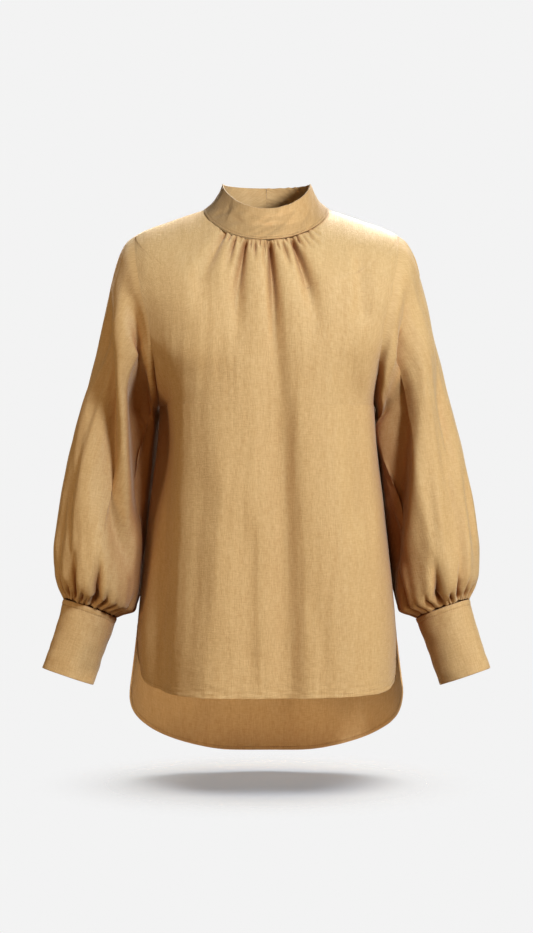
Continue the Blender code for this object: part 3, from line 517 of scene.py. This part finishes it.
COLLAR = {
    "up":      (0.0, 0.2, 0.45, 0.7, 1.0),
    "front_z": (-45.5, -37, -26, -14.5, -2),
    "front_y": (79, 75, 70.5, 66.5, 62),
    "side_z":  (3.5, 9, 17, 27, 39),
    "side_x":  (86.5, 79, 71.5, 65.5, 61),
    "back_z":  (7.5, 14, 22, 30.5, 39),
    "back_y":  (63.5, 60, 56.5, 53.5, 51),
}
COLLAR_LEAN = 1.2
COLLAR_LIFT = 0.4 * MM
COLLAR_CREASES = {
    "angle": (-33, 2, 14, 30, -52, -60, -20),
    "up":    (0.40, 0.40, 0.66, 0.34, 0.50, 0.40, 0.72),
    "wide":  (12, 16, 18, 12, 5, 5, 12),
    "tall":  (0.13, 0.12, 0.11, 0.11, 0.45, 0.40, 0.10),
    "depth": (3.2, 3.2, 1.8, 1.8, 2.6, 1.8, 1.4),
    "tilt":  (-0.003, 0.001, 0.002, 0.003, 0.0, 0.0, -0.002),
}


def collar(half, angle, up):
    def column(name):
        return through(COLLAR["up"], COLLAR[name], up) * MM

    depth, width = column(half + "_y"), column("side_x")
    reach = ((np.cos(angle) / depth) ** 2 + (np.sin(angle) / width) ** 2) ** -0.5
    if half == "front":
        for centre, level, wide, tall, deep, tilt in zip(*COLLAR_CREASES.values()):
            away = np.degrees(angle) - centre
            rise = (up - level - tilt * away) / tall
            reach = reach - deep * MM * np.exp(-((away / wide) ** 2)) / (1 + rise**2) ** 1.5
    forward = np.maximum(reach * np.cos(angle), 0)
    side = column("side_z")
    height = side + (column(half + "_z") - side) * (forward / depth) ** COLLAR_LEAN
    way = -1 if half == "front" else 1
    points = np.stack([reach * np.sin(angle), way * forward, height], axis=-1)
    points[..., 2] += COLLAR_LIFT
    return points


def grid_normals(points, closed, flip):
    """Unit vectors out of a grid of points, whose rows run down and whose columns run across."""
    if closed:
        along = np.roll(points, -1, axis=1) - np.roll(points, 1, axis=1)
    else:
        along = np.gradient(points, axis=1)
    out = unit(np.cross(np.gradient(points, axis=0), along))
    return -out if flip else out


def make_mesh(name, points, faces, material, uv=None, sharp=50):
    mesh = bpy.data.meshes.new(name)
    mesh.from_pydata(points, [], faces)
    if uv is not None:
        layer = mesh.uv_layers.new(name="cloth")
        layer.data.foreach_set("uv", np.ravel(uv))
    mesh.shade_smooth()
    mesh.set_sharp_from_angle(angle=math.radians(sharp))
    mesh.materials.append(material)
    made = bpy.data.objects.new(name, mesh)
    bpy.context.scene.collection.objects.link(made)
    return made


def shell(name, points, thickness, material, closed=False, flip=False, uv=None, keep=None, edge=None):
    """A thin closed wall whose outer face is a grid of points. edge is the distance from edges to round."""
    rows, columns = points.shape[:2]
    out = grid_normals(points, closed, flip)
    thick = np.broadcast_to(np.asarray(thickness, float), (rows, columns))
    squeeze = 0 * thick
    if edge is not None:
        near = np.clip(1 - edge / (thick / 2), 0, 1)
        squeeze = thick / 2 * (1 - np.sqrt(1 - near**2)) * 0.92
    outer = points - out * squeeze[..., None]
    inner = points - out * (thick - squeeze)[..., None]
    index = np.arange(rows * columns).reshape(rows, columns)
    if closed:
        index = np.concatenate([index, index[:, :1]], axis=1)
    corners = (index[:-1, :-1], index[1:, :-1], index[1:, 1:], index[:-1, 1:])
    skin = np.stack(corners, axis=-1)
    wide = np.stack(np.broadcast_arrays(*uv), axis=-1)
    map_corners = (wide[:-1, :-1], wide[1:, :-1], wide[1:, 1:], wide[:-1, 1:])
    map_skin = np.stack(map_corners, axis=-2)
    if keep is not None:
        skin, map_skin = skin[keep], map_skin[keep]
    skin, map_skin = skin.reshape(-1, 4), map_skin.reshape(-1, 4, 2)
    if flip:
        skin, map_skin = skin[:, ::-1], map_skin[:, ::-1]
    edges = np.stack([skin, np.roll(skin, -1, axis=1)], axis=-1).reshape(-1, 2)
    key = np.sort(edges, axis=1) @ np.array([rows * columns, 1])
    _, first, count = np.unique(key, return_index=True, return_counts=True)
    rim = edges[first[count == 1]]
    rim_uv = np.stack([map_skin, map_skin], axis=-2).reshape(-1, 2, 2)[first[count == 1]]
    total = rows * columns
    rim_faces = np.stack([rim[:, 1], rim[:, 0], total + rim[:, 0], total + rim[:, 1]], axis=1)
    rim_map = np.concatenate([rim_uv, rim_uv[:, ::-1]], axis=1)
    faces = np.concatenate([skin, skin[:, ::-1] + total, rim_faces])
    maps = np.concatenate([map_skin, map_skin[:, ::-1], rim_map])
    points = np.concatenate([outer.reshape(-1, 3), inner.reshape(-1, 3)])
    used = np.unique(faces)
    fresh = np.zeros(len(points), int)
    fresh[used] = np.arange(len(used))
    return make_mesh(name, points[used], fresh[faces], material, uv=maps)


def spaced(low, high, count, marks):
    """Places from low to high that are closer together near marks of (place, reach, strength)."""
    fine = np.linspace(low, high, 4001)
    weight = np.ones_like(fine)
    for place, reach, strength in marks:
        weight += strength * np.exp(-(((fine - place) / reach) ** 2))
    run = np.concatenate([[0], np.cumsum((weight[1:] + weight[:-1]) / 2)])
    return np.interp(np.linspace(0, run[-1], count), run, fine)


def weave_map(points):
    """Map coordinates in metres for a panel: threads run straight down and straight across."""
    arc = run_length(points, 1)
    arc = arc - arc[:, -1:] / 2
    upper = ease(points[..., 2], -0.30, -0.16)
    step = np.linalg.norm(np.diff(points[..., 1:], axis=0), axis=-1)
    fall = np.concatenate([np.zeros((1, points.shape[1])), np.cumsum(step, axis=0)])
    return arc + (points[..., 0] - arc) * upper, fall[-1:] - fall


def seam_gap(points, row, half):
    """The side and shoulder edges of a panel stop just short of the panel that they meet."""
    shared = (row <= SHOULDER_ROW) | (row >= UNDERARM_ROW)
    shift = np.where(shared, 0.15 * MM, 0) * (-1 if half == "front" else 1)
    points[:, 0, 1] += shift
    points[:, -1, 1] += shift
    return points


def make_front(material):
    marks = ((0, 0.42, 1.6), (-1, 0.03, 3), (1, 0.03, 3))
    across = spaced(-1, 1, 236, marks)
    row = spaced(0, 1, 196, ((0, 0.05, 5), (1, 0.02, 4), (0.14, 0.02, 0.5)))
    points, wide, down, hem = panel("front", across, row)
    points = seam_gap(points, row, "front")
    thick = CLOTH + (HEM_THICKNESS - CLOTH) * (1 - ease(hem, HEM_WIDTH - 0.5 * MM, HEM_WIDTH + 0.5 * MM))
    return shell("front_cloth", points, thick, material, uv=weave_map(points))


def make_back(material):
    across = spaced(-1, 1, 170, ((-1, 0.03, 3), (1, 0.03, 3)))
    row = spaced(0, 1, 150, ((0, 0.03, 3), (1, 0.02, 4)))
    points, wide, down, hem = panel("back", across, row)
    points = seam_gap(points, row, "back")
    middle = len(across) // 2
    open_rows = down[:, middle] < SLIT_LENGTH
    spread = ease(down[:, middle], SLIT_LENGTH * 0.95, SLIT_LENGTH * 1.3)
    for column, gap in ((middle - 1, -SLIT_HALF_GAP), (middle, SLIT_HALF_GAP)):
        points[:, column, 0] += (gap - points[:, column, 0]) * (1 - spread)
    keep = np.ones((len(row) - 1, len(across) - 1), bool)
    keep[open_rows[:-1], middle - 1] = False
    thick = CLOTH + (HEM_THICKNESS - CLOTH) * (1 - ease(hem, HEM_WIDTH - 0.5 * MM, HEM_WIDTH + 0.5 * MM))
    return shell("back_cloth", points, thick, material, flip=True, uv=weave_map(points), keep=keep)


def tube_uv(around, down):
    """Map coordinates round a tube, with one more column than the tube has, where it closes."""
    around = np.concatenate([around, around[:, -1:] * 2 - around[:, -2:-1]], axis=1)
    down = np.concatenate([down, down[:, :1]], axis=1)
    return around, -down


SLEEVE_AXIS = (0.19, -0.01, -0.98)


def make_sleeve(side, material):
    turn = np.arange(216) * 2 * math.pi / 216
    along = spaced(0, 1, 178, ((0, 0.01, 3), (1, 0.05, 4)))
    points, down = sleeve(side, turn, along)
    points[0] += unit(points[1] - points[0]) * 0.05 * MM
    fall = points @ unit(np.array(SLEEVE_AXIS) * (side, 1, 1))
    uv = tube_uv(np.broadcast_to(turn * SLEEVE_RADIUS * MM, down.shape), fall)
    name = "sleeve_left_cloth" if side > 0 else "sleeve_right_cloth"
    return shell(name, points, CLOTH, material, closed=True, flip=side > 0, uv=uv)


def make_cuff(side, material):
    turn = np.arange(144) * 2 * math.pi / 144
    along = spaced(0.004, 1, 56, ((0, 0.015, 10), (1, 0.015, 10), (0.075, 0.02, 3)))
    turns, alongs = np.meshgrid(turn, along)
    points = ring(CUFF, turns, alongs)
    out = tube_normals(lambda t, a: ring(CUFF, t, a), turns, alongs)
    down = run_length(points, 0)
    around = 34 * MM * turns
    length = down[-1:]
    moved = crumple(around, down, 0.05, 0.05, 0.5 * MM, 31 + side)
    moved -= 0.45 * MM * np.exp(-(((down - 7.5 * MM) / (1.0 * MM)) ** 2))
    moved += 0.3 * MM * np.exp(-(((down - 4 * MM) / (3 * MM)) ** 2))
    points = (points + out * moved[..., None]) * (side, 1, 1)
    edge = np.minimum(down, length - down)
    uv = tube_uv(around, down)
    name = "cuff_left_cloth" if side > 0 else "cuff_right_cloth"
    made = shell(name, points, BAND, material, closed=True, flip=side > 0, uv=uv, edge=edge)
    return made, points, grid_normals(points, True, side > 0), down


def make_collar(material):
    up = spaced(0, 1, 44, ((0, 0.02, 4), (1, 0.03, 6), (0.07, 0.03, 2)))[::-1]
    front = np.linspace(-QUARTER, QUARTER, 170)[1:-1]
    back = np.linspace(0, QUARTER, 64)
    rows = []
    for level in up:
        depth = through(COLLAR["up"], COLLAR["back_y"], level) * MM
        start = SLIT_HALF_GAP / depth
        turned = start + back * (QUARTER - start) / QUARTER
        left = collar("back", -turned, level)
        right = collar("back", turned[::-1], level)
        rows.append(np.concatenate([left, collar("front", front, level), right]))
    points = np.array(rows)
    wide, down = run_length(points, 1), run_length(points, 0)
    out = grid_normals(points, False, False)
    base = down[-1:] - down
    moved = crumple(wide, down, 0.03, 0.05, 0.35 * MM, 41)
    moved -= 0.40 * MM * np.exp(-(((base - 3.4 * MM) / (0.9 * MM)) ** 2))
    rim = 0.35 * MM * np.sin(wide * 2 * math.pi / 0.013 + np.sin(wide * 2 * math.pi / 0.05))
    moved += rim * (1 - ease(down, 0, 0.012)) * ease(points[..., 1], -0.02, 0.03)
    points = points + out * moved[..., None]
    uv = (wide - wide[:, -1:] / 2, -down)
    thick = BAND - 1.0 * MM * (1 - ease(base, 0.5 * MM, 4 * MM))
    made = shell("collar_cloth", points, thick, material, uv=uv, edge=down)
    return made, points, out, base


def at_distance(points, out, distance, wanted):
    """The line across a grid where a distance that grows down its rows has the wanted value."""
    line, away = [], []
    for column in range(points.shape[1]):
        order = np.argsort(distance[:, column])
        place = distance[order, column]
        line.append([np.interp(wanted, place, points[order, column, i]) for i in range(3)])
        away.append([np.interp(wanted, place, out[order, column, i]) for i in range(3)])
    return np.array(line), unit(np.array(away))


STITCH = 2.3 * MM
STITCH_GAP = 0.8 * MM
THREAD = 0.22 * MM


def make_stitches(name, lines, material):
    """Stitches along lines of points, each with the unit vectors out of the cloth there."""
    points, faces = [], []
    for line, out in lines:
        run = run_length(line, 0)
        for start in np.arange(STITCH, run[-1] - STITCH, STITCH + STITCH_GAP):
            at = start + STITCH * np.array([0, 0.25, 0.75, 1])
            path = np.stack([np.interp(at, run, line[:, i]) for i in range(3)], axis=-1)
            up = unit(np.stack([np.interp(at, run, out[:, i]) for i in range(3)], axis=-1))
            side = unit(np.cross(path[-1] - path[0], up))
            lift = np.array([-0.1, 0.14, 0.14, -0.1])[:, None] * MM
            base = len(points)
            for middle, one, other in zip(path + up * lift, side, up):
                for turn in np.arange(5) * 2 * math.pi / 5:
                    points.append(middle + THREAD * (one * math.cos(turn) + other * math.sin(turn)))
            for i in range(3):
                for j in range(5):
                    a, b = base + 5 * i + j, base + 5 * i + (j + 1) % 5
                    faces.append((a, b, b + 5, a + 5))
            faces.append(tuple(base + i for i in reversed(range(5))))
            faces.append(tuple(base + 15 + i for i in range(5)))
    return make_mesh(name, np.array(points), faces, material, sharp=80)


def nodes_of(name):
    material = bpy.data.materials.new(name)
    material.use_nodes = True
    tree = material.node_tree
    return material, tree, tree.nodes["Principled BSDF"]


def add(tree, kind, inputs=None, **settings):
    """A node with its settings, its values and what its inputs are linked from."""
    node = tree.nodes.new(kind)
    for key, value in settings.items():
        setattr(node, key, value)
    for key, value in (inputs or {}).items():
        if isinstance(value, bpy.types.NodeSocket):
            tree.links.new(value, node.inputs[key])
        else:
            node.inputs[key].default_value = value
    return node


def stretched_noise(tree, vector, scale, detail=3.0, offset=0.0):
    moved = add(tree, "ShaderNodeMapping", {"Vector": vector, "Scale": scale, "Location": (offset, offset, 0)})
    noise = add(tree, "ShaderNodeTexNoise", {"Vector": moved.outputs[0], "Scale": 1.0, "Detail": detail})
    return noise.outputs["Fac"]


def mixed(tree, factor, first, second):
    node = add(tree, "ShaderNodeMix", {0: factor, 6: first, 7: second}, data_type="RGBA")
    return node.outputs[2]


def maths(tree, operation, *values):
    node = tree.nodes.new("ShaderNodeMath")
    node.operation = operation
    for i, value in enumerate(values):
        if isinstance(value, bpy.types.NodeSocket):
            tree.links.new(value, node.inputs[i])
        else:
            node.inputs[i].default_value = value
    return node.outputs[0]


PALE_THREAD = (0.660, 0.442, 0.203, 1)
DEEP_THREAD = (0.555, 0.338, 0.136, 1)
# Painted shade: the darker, redder colour the cloth is given in its folds and hollows, where shade falls.
PAINTED_FOLD_SHADE_COLOUR = (0.27, 0.075, 0.008, 1)


def cloth_material(name, painted_shade_reach):
    """A fine plain weave with slubs and a soft sheen, with painted shade that makes it darker and redder in its
    folds; the second argument is how far that painted shade reaches.
    """
    material, tree, shader = nodes_of(name)
    uv = add(tree, "ShaderNodeUVMap", uv_map="cloth").outputs[0]
    warp = stretched_noise(tree, uv, (620, 95, 1))
    weft = stretched_noise(tree, uv, (120, 560, 1), offset=3.1)
    broad = stretched_noise(tree, uv, (150, 16, 1), detail=2.0, offset=7.7)
    weave_x = add(tree, "ShaderNodeTexWave", {"Vector": uv, "Scale": 330.0}, bands_direction="X").outputs["Fac"]
    weave_y = add(tree, "ShaderNodeTexWave", {"Vector": uv, "Scale": 360.0}, bands_direction="Y").outputs["Fac"]
    slub = maths(tree, "MULTIPLY_ADD", warp, 0.55, maths(tree, "MULTIPLY", weft, 0.45))
    tone = maths(tree, "MULTIPLY_ADD", slub, 0.80, maths(tree, "MULTIPLY", broad, 0.20))
    tone = add(tree, "ShaderNodeMapRange", {0: tone, 1: 0.39, 2: 0.61, 3: 0.0, 4: 1.0}).outputs[0]
    thread = mixed(tree, tone, DEEP_THREAD, PALE_THREAD)
    # Painted shade: ambient occlusion mixes the painted fold shade into the cloth's colour wherever other cloth is
    # close by; the mapped value is 0 where it is all painted shade and 1 in the open.
    painted_shade_mask = add(tree, "ShaderNodeAmbientOcclusion", {"Distance": painted_shade_reach}, samples=6).outputs["AO"]
    painted_shade_mask = add(tree, "ShaderNodeMapRange", {0: painted_shade_mask, 1: 0.18, 2: 0.94, 3: 0.0, 4: 1.0}).outputs[0]
    tree.links.new(mixed(tree, painted_shade_mask, PAINTED_FOLD_SHADE_COLOUR, thread), shader.inputs["Base Color"])
    weave = maths(tree, "MULTIPLY", weave_x, weave_y)
    height = maths(tree, "MULTIPLY_ADD", slub, 1.0, maths(tree, "MULTIPLY", weave, 0.25))
    bump = add(tree, "ShaderNodeBump", {"Height": height, "Strength": 0.7, "Distance": 0.0010})
    tree.links.new(bump.outputs[0], shader.inputs["Normal"])
    rough = add(tree, "ShaderNodeMapRange", {0: slub, 1: 0.35, 2: 0.65, 3: 0.70, 4: 0.52}).outputs[0]
    tree.links.new(rough, shader.inputs["Roughness"])
    shader.inputs["Specular IOR Level"].default_value = 0.5
    shader.inputs["Sheen Weight"].default_value = 0.35
    shader.inputs["Sheen Roughness"].default_value = 0.5
    shader.inputs["Sheen Tint"].default_value = (1.0, 0.90, 0.74, 1)
    return material


def thread_material():
    material, tree, shader = nodes_of("thread")
    spot = add(tree, "ShaderNodeTexCoord").outputs["Object"]
    ply = stretched_noise(tree, spot, (900, 900, 900))
    tree.links.new(mixed(tree, ply, (0.42, 0.25, 0.10, 1), (0.55, 0.36, 0.16, 1)), shader.inputs["Base Color"])
    shader.inputs["Roughness"].default_value = 0.6
    return material


def horn_material():
    material, tree, shader = nodes_of("horn_button")
    spot = add(tree, "ShaderNodeTexCoord").outputs["Object"]
    cloud = stretched_noise(tree, spot, (160, 160, 420), detail=4.0)
    tree.links.new(mixed(tree, cloud, (0.16, 0.075, 0.03, 1), (0.46, 0.29, 0.13, 1)), shader.inputs["Base Color"])
    rough = add(tree, "ShaderNodeMapRange", {0: cloud, 3: 0.25, 4: 0.42}).outputs[0]
    tree.links.new(rough, shader.inputs["Roughness"])
    return material


BUTTON = {
    "radius": (1.8, 1.8, 3.9, 4.5, 4.8, 4.7, 4.3, 3.6, 3.0, 1.6),
    "height": (0.3, 2.3, 2.45, 2.7, 3.3, 3.9, 4.3, 4.3, 4.0, 3.9),
}
BUTTON_TOP = 3.9 * MM
BUTTON_SIDES = 48
BUTTON_X = 6.0 * MM
BUTTON_UP = {"lower": 0.27, "upper": 0.75}
LOOP_RADIUS = 0.7 * MM
LOOP_BEND = 2.9 * MM
LOOP_END_X = -9.0 * MM
LOOP_SIDES = 12
COLLAR_BACK_RADIUS = 57 * MM
COLLAR_BACK_HEIGHT = 34 * MM


def on_collar(x, up_by, up):
    """Places on the back of the collar, near a height, and the unit vectors across, up and out."""

    def place(x, up_by):
        return collar("back", x / COLLAR_BACK_RADIUS, up + up_by / COLLAR_BACK_HEIGHT)

    across = unit(place(x + STEP, up_by) - place(x - STEP, up_by))
    upward = unit(place(x, up_by + STEP) - place(x, up_by - STEP))
    out = unit(np.cross(upward, across))
    return place(x, up_by), across, unit(np.cross(across, out)), out


def stack_faces(count, rings):
    index = np.arange(count * rings).reshape(rings, count)
    index = np.concatenate([index, index[:, :1]], axis=1)
    corners = (index[:-1, :-1], index[1:, :-1], index[1:, 1:], index[:-1, 1:])
    return np.stack(corners, axis=-1).reshape(-1, 4).tolist()


def make_button(name, up, material):
    centre, across, upward, out = on_collar(np.array(BUTTON_X), np.array(0.0), up)
    turn = (np.arange(BUTTON_SIDES) * 2 * math.pi / BUTTON_SIDES)[:, None]
    spokes = across * np.cos(turn) + upward * np.sin(turn)
    rings = list(zip(BUTTON["radius"], BUTTON["height"]))
    points = [centre + out * height * MM + spokes * radius * MM for radius, height in rings]
    faces = stack_faces(BUTTON_SIDES, len(rings))
    count, last = len(rings) * BUTTON_SIDES, (len(rings) - 1) * BUTTON_SIDES
    for i in range(BUTTON_SIDES):
        j = (i + 1) % BUTTON_SIDES
        faces += [(count, last + j, last + i), (count + 1, i, j)]
    ends = [centre + out * BUTTON_TOP, centre + out * BUTTON["height"][0] * MM]
    return make_mesh(name, np.concatenate(points + [ends]), faces, material, sharp=60)


def make_loop(name, up, material):
    bend = np.linspace(QUARTER, -QUARTER, 15)
    legs = np.linspace(LOOP_END_X, BUTTON_X * 0.8, 8)
    x = np.concatenate([legs, BUTTON_X + LOOP_BEND * np.cos(bend), legs[::-1]])
    rise = LOOP_BEND * np.concatenate([np.ones(8), np.sin(bend), -np.ones(8)])
    centre, _, _, out = on_collar(x, rise, up)
    centre = centre + out * (0.3 * MM + LOOP_RADIUS)
    tangent = unit(np.gradient(centre, axis=0))
    side = unit(np.cross(tangent, out))
    rings = []
    for middle, one, other in zip(centre, side, np.cross(side, tangent)):
        turn = (np.arange(LOOP_SIDES) * 2 * math.pi / LOOP_SIDES)[:, None]
        rings.append(middle + LOOP_RADIUS * (one * np.cos(turn) + other * np.sin(turn)))
    faces = stack_faces(LOOP_SIDES, len(rings))
    last = (len(rings) - 1) * LOOP_SIDES
    faces += [tuple(range(LOOP_SIDES)), tuple(last + i for i in reversed(range(LOOP_SIDES)))]
    points = np.concatenate(rings)
    return make_mesh(name, points, faces, material, sharp=60)


FLOOR_Z = -0.787


def make_floor():
    """A pale floor that fades into the pale background, with painted light in its cast shadow."""
    material, tree, shader = nodes_of("pale_floor")
    spot = add(tree, "ShaderNodeTexCoord").outputs["Object"]
    distance = add(tree, "ShaderNodeVectorMath", {0: spot}, operation="LENGTH").outputs["Value"]
    # Painted light: even at its middle the floor is only about three quarters opaque, so the pale background
    # lightens its cast shadow.
    shown = add(tree, "ShaderNodeMapRange", {0: distance, 1: 0.08, 2: 0.33, 3: 0.74, 4: 0.0}, interpolation_type="SMOOTHSTEP")
    tree.links.new(shown.outputs[0], shader.inputs["Alpha"])
    # Painted shadow colour: the floor is bluer under the garment, to cancel the warm light that the cloth bounces
    # into its shadow.
    outward = add(tree, "ShaderNodeMapRange", {0: distance, 1: 0.06, 2: 0.19, 3: 0.0, 4: 1.0}, interpolation_type="SMOOTHSTEP")
    painted_shadow_tint = mixed(tree, outward.outputs[0], (0.74, 0.82, 0.97, 1), (0.79, 0.79, 0.79, 1))
    tree.links.new(painted_shadow_tint, shader.inputs["Base Color"])
    shader.inputs["Roughness"].default_value = 0.9
    shader.inputs["Specular IOR Level"].default_value = 0.0
    corner = 0.40
    points = [(-corner, -corner, 0), (corner, -corner, 0), (corner, corner, 0), (-corner, corner, 0)]
    floor = make_mesh("floor", points, [(0, 1, 2, 3)], material)
    floor.location.z = FLOOR_Z
    return floor


def gathered(name, objects):
    made = bpy.data.collections.new(name)
    for piece in objects:
        made.objects.link(piece)
    return made


def area_light(name, place, target, size, watts, colour, lit, shading=None):
    """A round soft light that reaches only some objects, and is shaded by some or by all."""
    data = bpy.data.lights.new(name, "AREA")
    data.shape = "DISK"
    data.size = size
    data.energy = watts
    data.color = colour
    lamp = bpy.data.objects.new(name, data)
    lamp.location = place
    lamp.rotation_euler = (Vector(target) - Vector(place)).to_track_quat("-Z", "Y").to_euler()
    bpy.context.scene.collection.objects.link(lamp)
    lamp.light_linking.receiver_collection = gathered(name + "_reaches", lit)
    if shading:
        lamp.light_linking.blocker_collection = gathered(name + "_is_shaded_by", shading)


BACKGROUND = 0.896


MIDDLE = (0, 0, -0.36)
LIGHT_DISTANCE = 3.3


def around(azimuth, elevation):
    """A place round the garment, in degrees to the right of the camera's side and up."""
    turn, rise = math.radians(azimuth), math.radians(elevation)
    way = (math.sin(turn) * math.cos(rise), -math.cos(turn) * math.cos(rise), math.sin(rise))
    return tuple(middle + LIGHT_DISTANCE * part for middle, part in zip(MIDDLE, way))


def make_studio(floor, garment, neck, body, near_side, near_sleeve, inside):
    world = bpy.data.worlds.new("studio")
    bpy.context.scene.world = world
    world.use_nodes = True
    tree = world.node_tree
    seen = add(tree, "ShaderNodeBackground", {"Color": (BACKGROUND, BACKGROUND, BACKGROUND, 1), "Strength": 1.0})
    lit = tree.nodes["Background"]
    lit.inputs["Color"].default_value = (1.0, 0.72, 0.45, 1)
    lit.inputs["Strength"].default_value = 0.04
    path = add(tree, "ShaderNodeLightPath")
    mix = add(tree, "ShaderNodeMixShader", {0: path.outputs["Is Camera Ray"], 1: lit.outputs[0], 2: seen.outputs[0]})
    tree.links.new(mix.outputs[0], tree.nodes["World Output"].inputs["Surface"])
    area_light("key", around(34, 36), MIDDLE, 0.6, 122, (0.87, 0.96, 1.0), garment)
    area_light("neck", around(24, 6), MIDDLE, 0.6, 122, (0.95, 0.98, 1.0), neck)
    area_light("low", around(66, -15), MIDDLE, 0.8, 31, (1.0, 0.78, 0.50), garment + neck)
    area_light("fill", around(-6, -12), MIDDLE, 1.0, 13, (1.0, 0.58, 0.24), garment + neck)
    area_light("arm", around(-66, 2), MIDDLE, 0.8, 27, (1.0, 0.74, 0.44), near_side)
    area_light("sleeve", around(-50, 5), MIDDLE, 0.8, 6, (1.0, 0.78, 0.48), near_sleeve)
    area_light("top", around(0, 90), MIDDLE, 0.9, 10, (1.0, 0.97, 0.92), garment)
    area_light("rear", around(165, 42), MIDDLE, 1.0, 92, (1.0, 0.95, 0.88), garment + neck)
    area_light("rear_low", around(-165, 18), MIDDLE, 1.0, 44, (1.0, 0.84, 0.64), garment + neck)
    area_light("inside", around(-5, -14), MIDDLE, 1.0, 34, (1.0, 0.86, 0.66), inside)
    area_light("overhead", (0.22, 0, 0.8), (0, 0, FLOOR_Z), 2.0, 41.5, (1.0, 1.0, 1.0), [floor], body)


CAMERA_DISTANCE = 3.0
CAMERA_HEIGHT = -0.351
VIEW_HEIGHT = 933 * 1.38 * MM


def make_camera():
    data = bpy.data.cameras.new("camera")
    data.sensor_width = 36
    data.lens = 36 * CAMERA_DISTANCE / VIEW_HEIGHT
    camera = bpy.data.objects.new("camera", data)
    camera.location = (0, -CAMERA_DISTANCE, CAMERA_HEIGHT)
    camera.rotation_euler = (QUARTER, 0, 0)
    bpy.context.scene.collection.objects.link(camera)
    bpy.context.scene.camera = camera


def hem_line(half, inset, inside=False):
    """The line of stitches along a hem and up its vents, on the cloth or inside it."""
    across = spaced(-1, 1, 236, ())
    row = spaced(0.80, 1, 120, ((1, 0.03, 3),))
    points, _, _, _ = panel(half, across, row)
    out = grid_normals(points, False, half == "back")
    if inside:
        points, out = points - out * HEM_THICKNESS, -out
    down = run_length(points, 0)
    keep = slice(2, -2)
    return at_distance(points[:, keep], out[:, keep], (down[-1:] - down)[:, keep], inset)


def main():
    bpy.context.scene.view_settings.view_transform = "Standard"
    # The second argument is how far the painted fold shade reaches: 10 cm on the body and 3 cm on the collar.
    cloth, neck_cloth = cloth_material("camel_cloth", 0.10), cloth_material("camel_neck_cloth", 0.03)
    thread, horn = thread_material(), horn_material()
    stitched = []
    front, back = make_front(cloth), make_back(cloth)
    collar_cloth, points, out, base = make_collar(neck_cloth)
    stitched.append(at_distance(points, out, base, 3.4 * MM))
    sleeves = {side: make_sleeve(side, cloth) for side in (1, -1)}
    cuffs = {}
    for side in (1, -1):
        cuffs[side], points, out, down = make_cuff(side, cloth)
        stitched.append(at_distance(points, out, down, 7.5 * MM))
    for half in ("front", "back"):
        stitched.append(hem_line(half, HEM_WIDTH - 1.2 * MM))
    stitched.append(hem_line("back", HEM_WIDTH - 1.2 * MM, inside=True))
    stitches = make_stitches("stitches", stitched, thread)
    pieces = [
        (front, "front", "camel_cloth"),
        (back, "back", "camel_cloth"),
        (collar_cloth, "collar", "camel_cloth"),
        (sleeves[1], "sleeve_left", "camel_cloth"),
        (sleeves[-1], "sleeve_right", "camel_cloth"),
        (cuffs[1], "cuff_left", "camel_cloth"),
        (cuffs[-1], "cuff_right", "camel_cloth"),
    ]
    for place, up in BUTTON_UP.items():
        pieces.append((make_button("horn_button_" + place, up, horn), "button_" + place, "horn_button"))
        pieces.append((make_loop("cord_loop_" + place, up, cloth), "loop_" + place, "camel_cloth"))
    for piece, node, slot in pieces:
        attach(piece, "root")
        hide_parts(node)
    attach(stitches, "root")
    floor = make_floor()
    garment = [piece for piece, _, _ in pieces if piece != collar_cloth] + [stitches]
    make_studio(floor, garment, [collar_cloth], [front, back], [front, back, sleeves[-1], cuffs[-1]], [sleeves[-1], cuffs[-1]], [back])
    make_camera()


main()
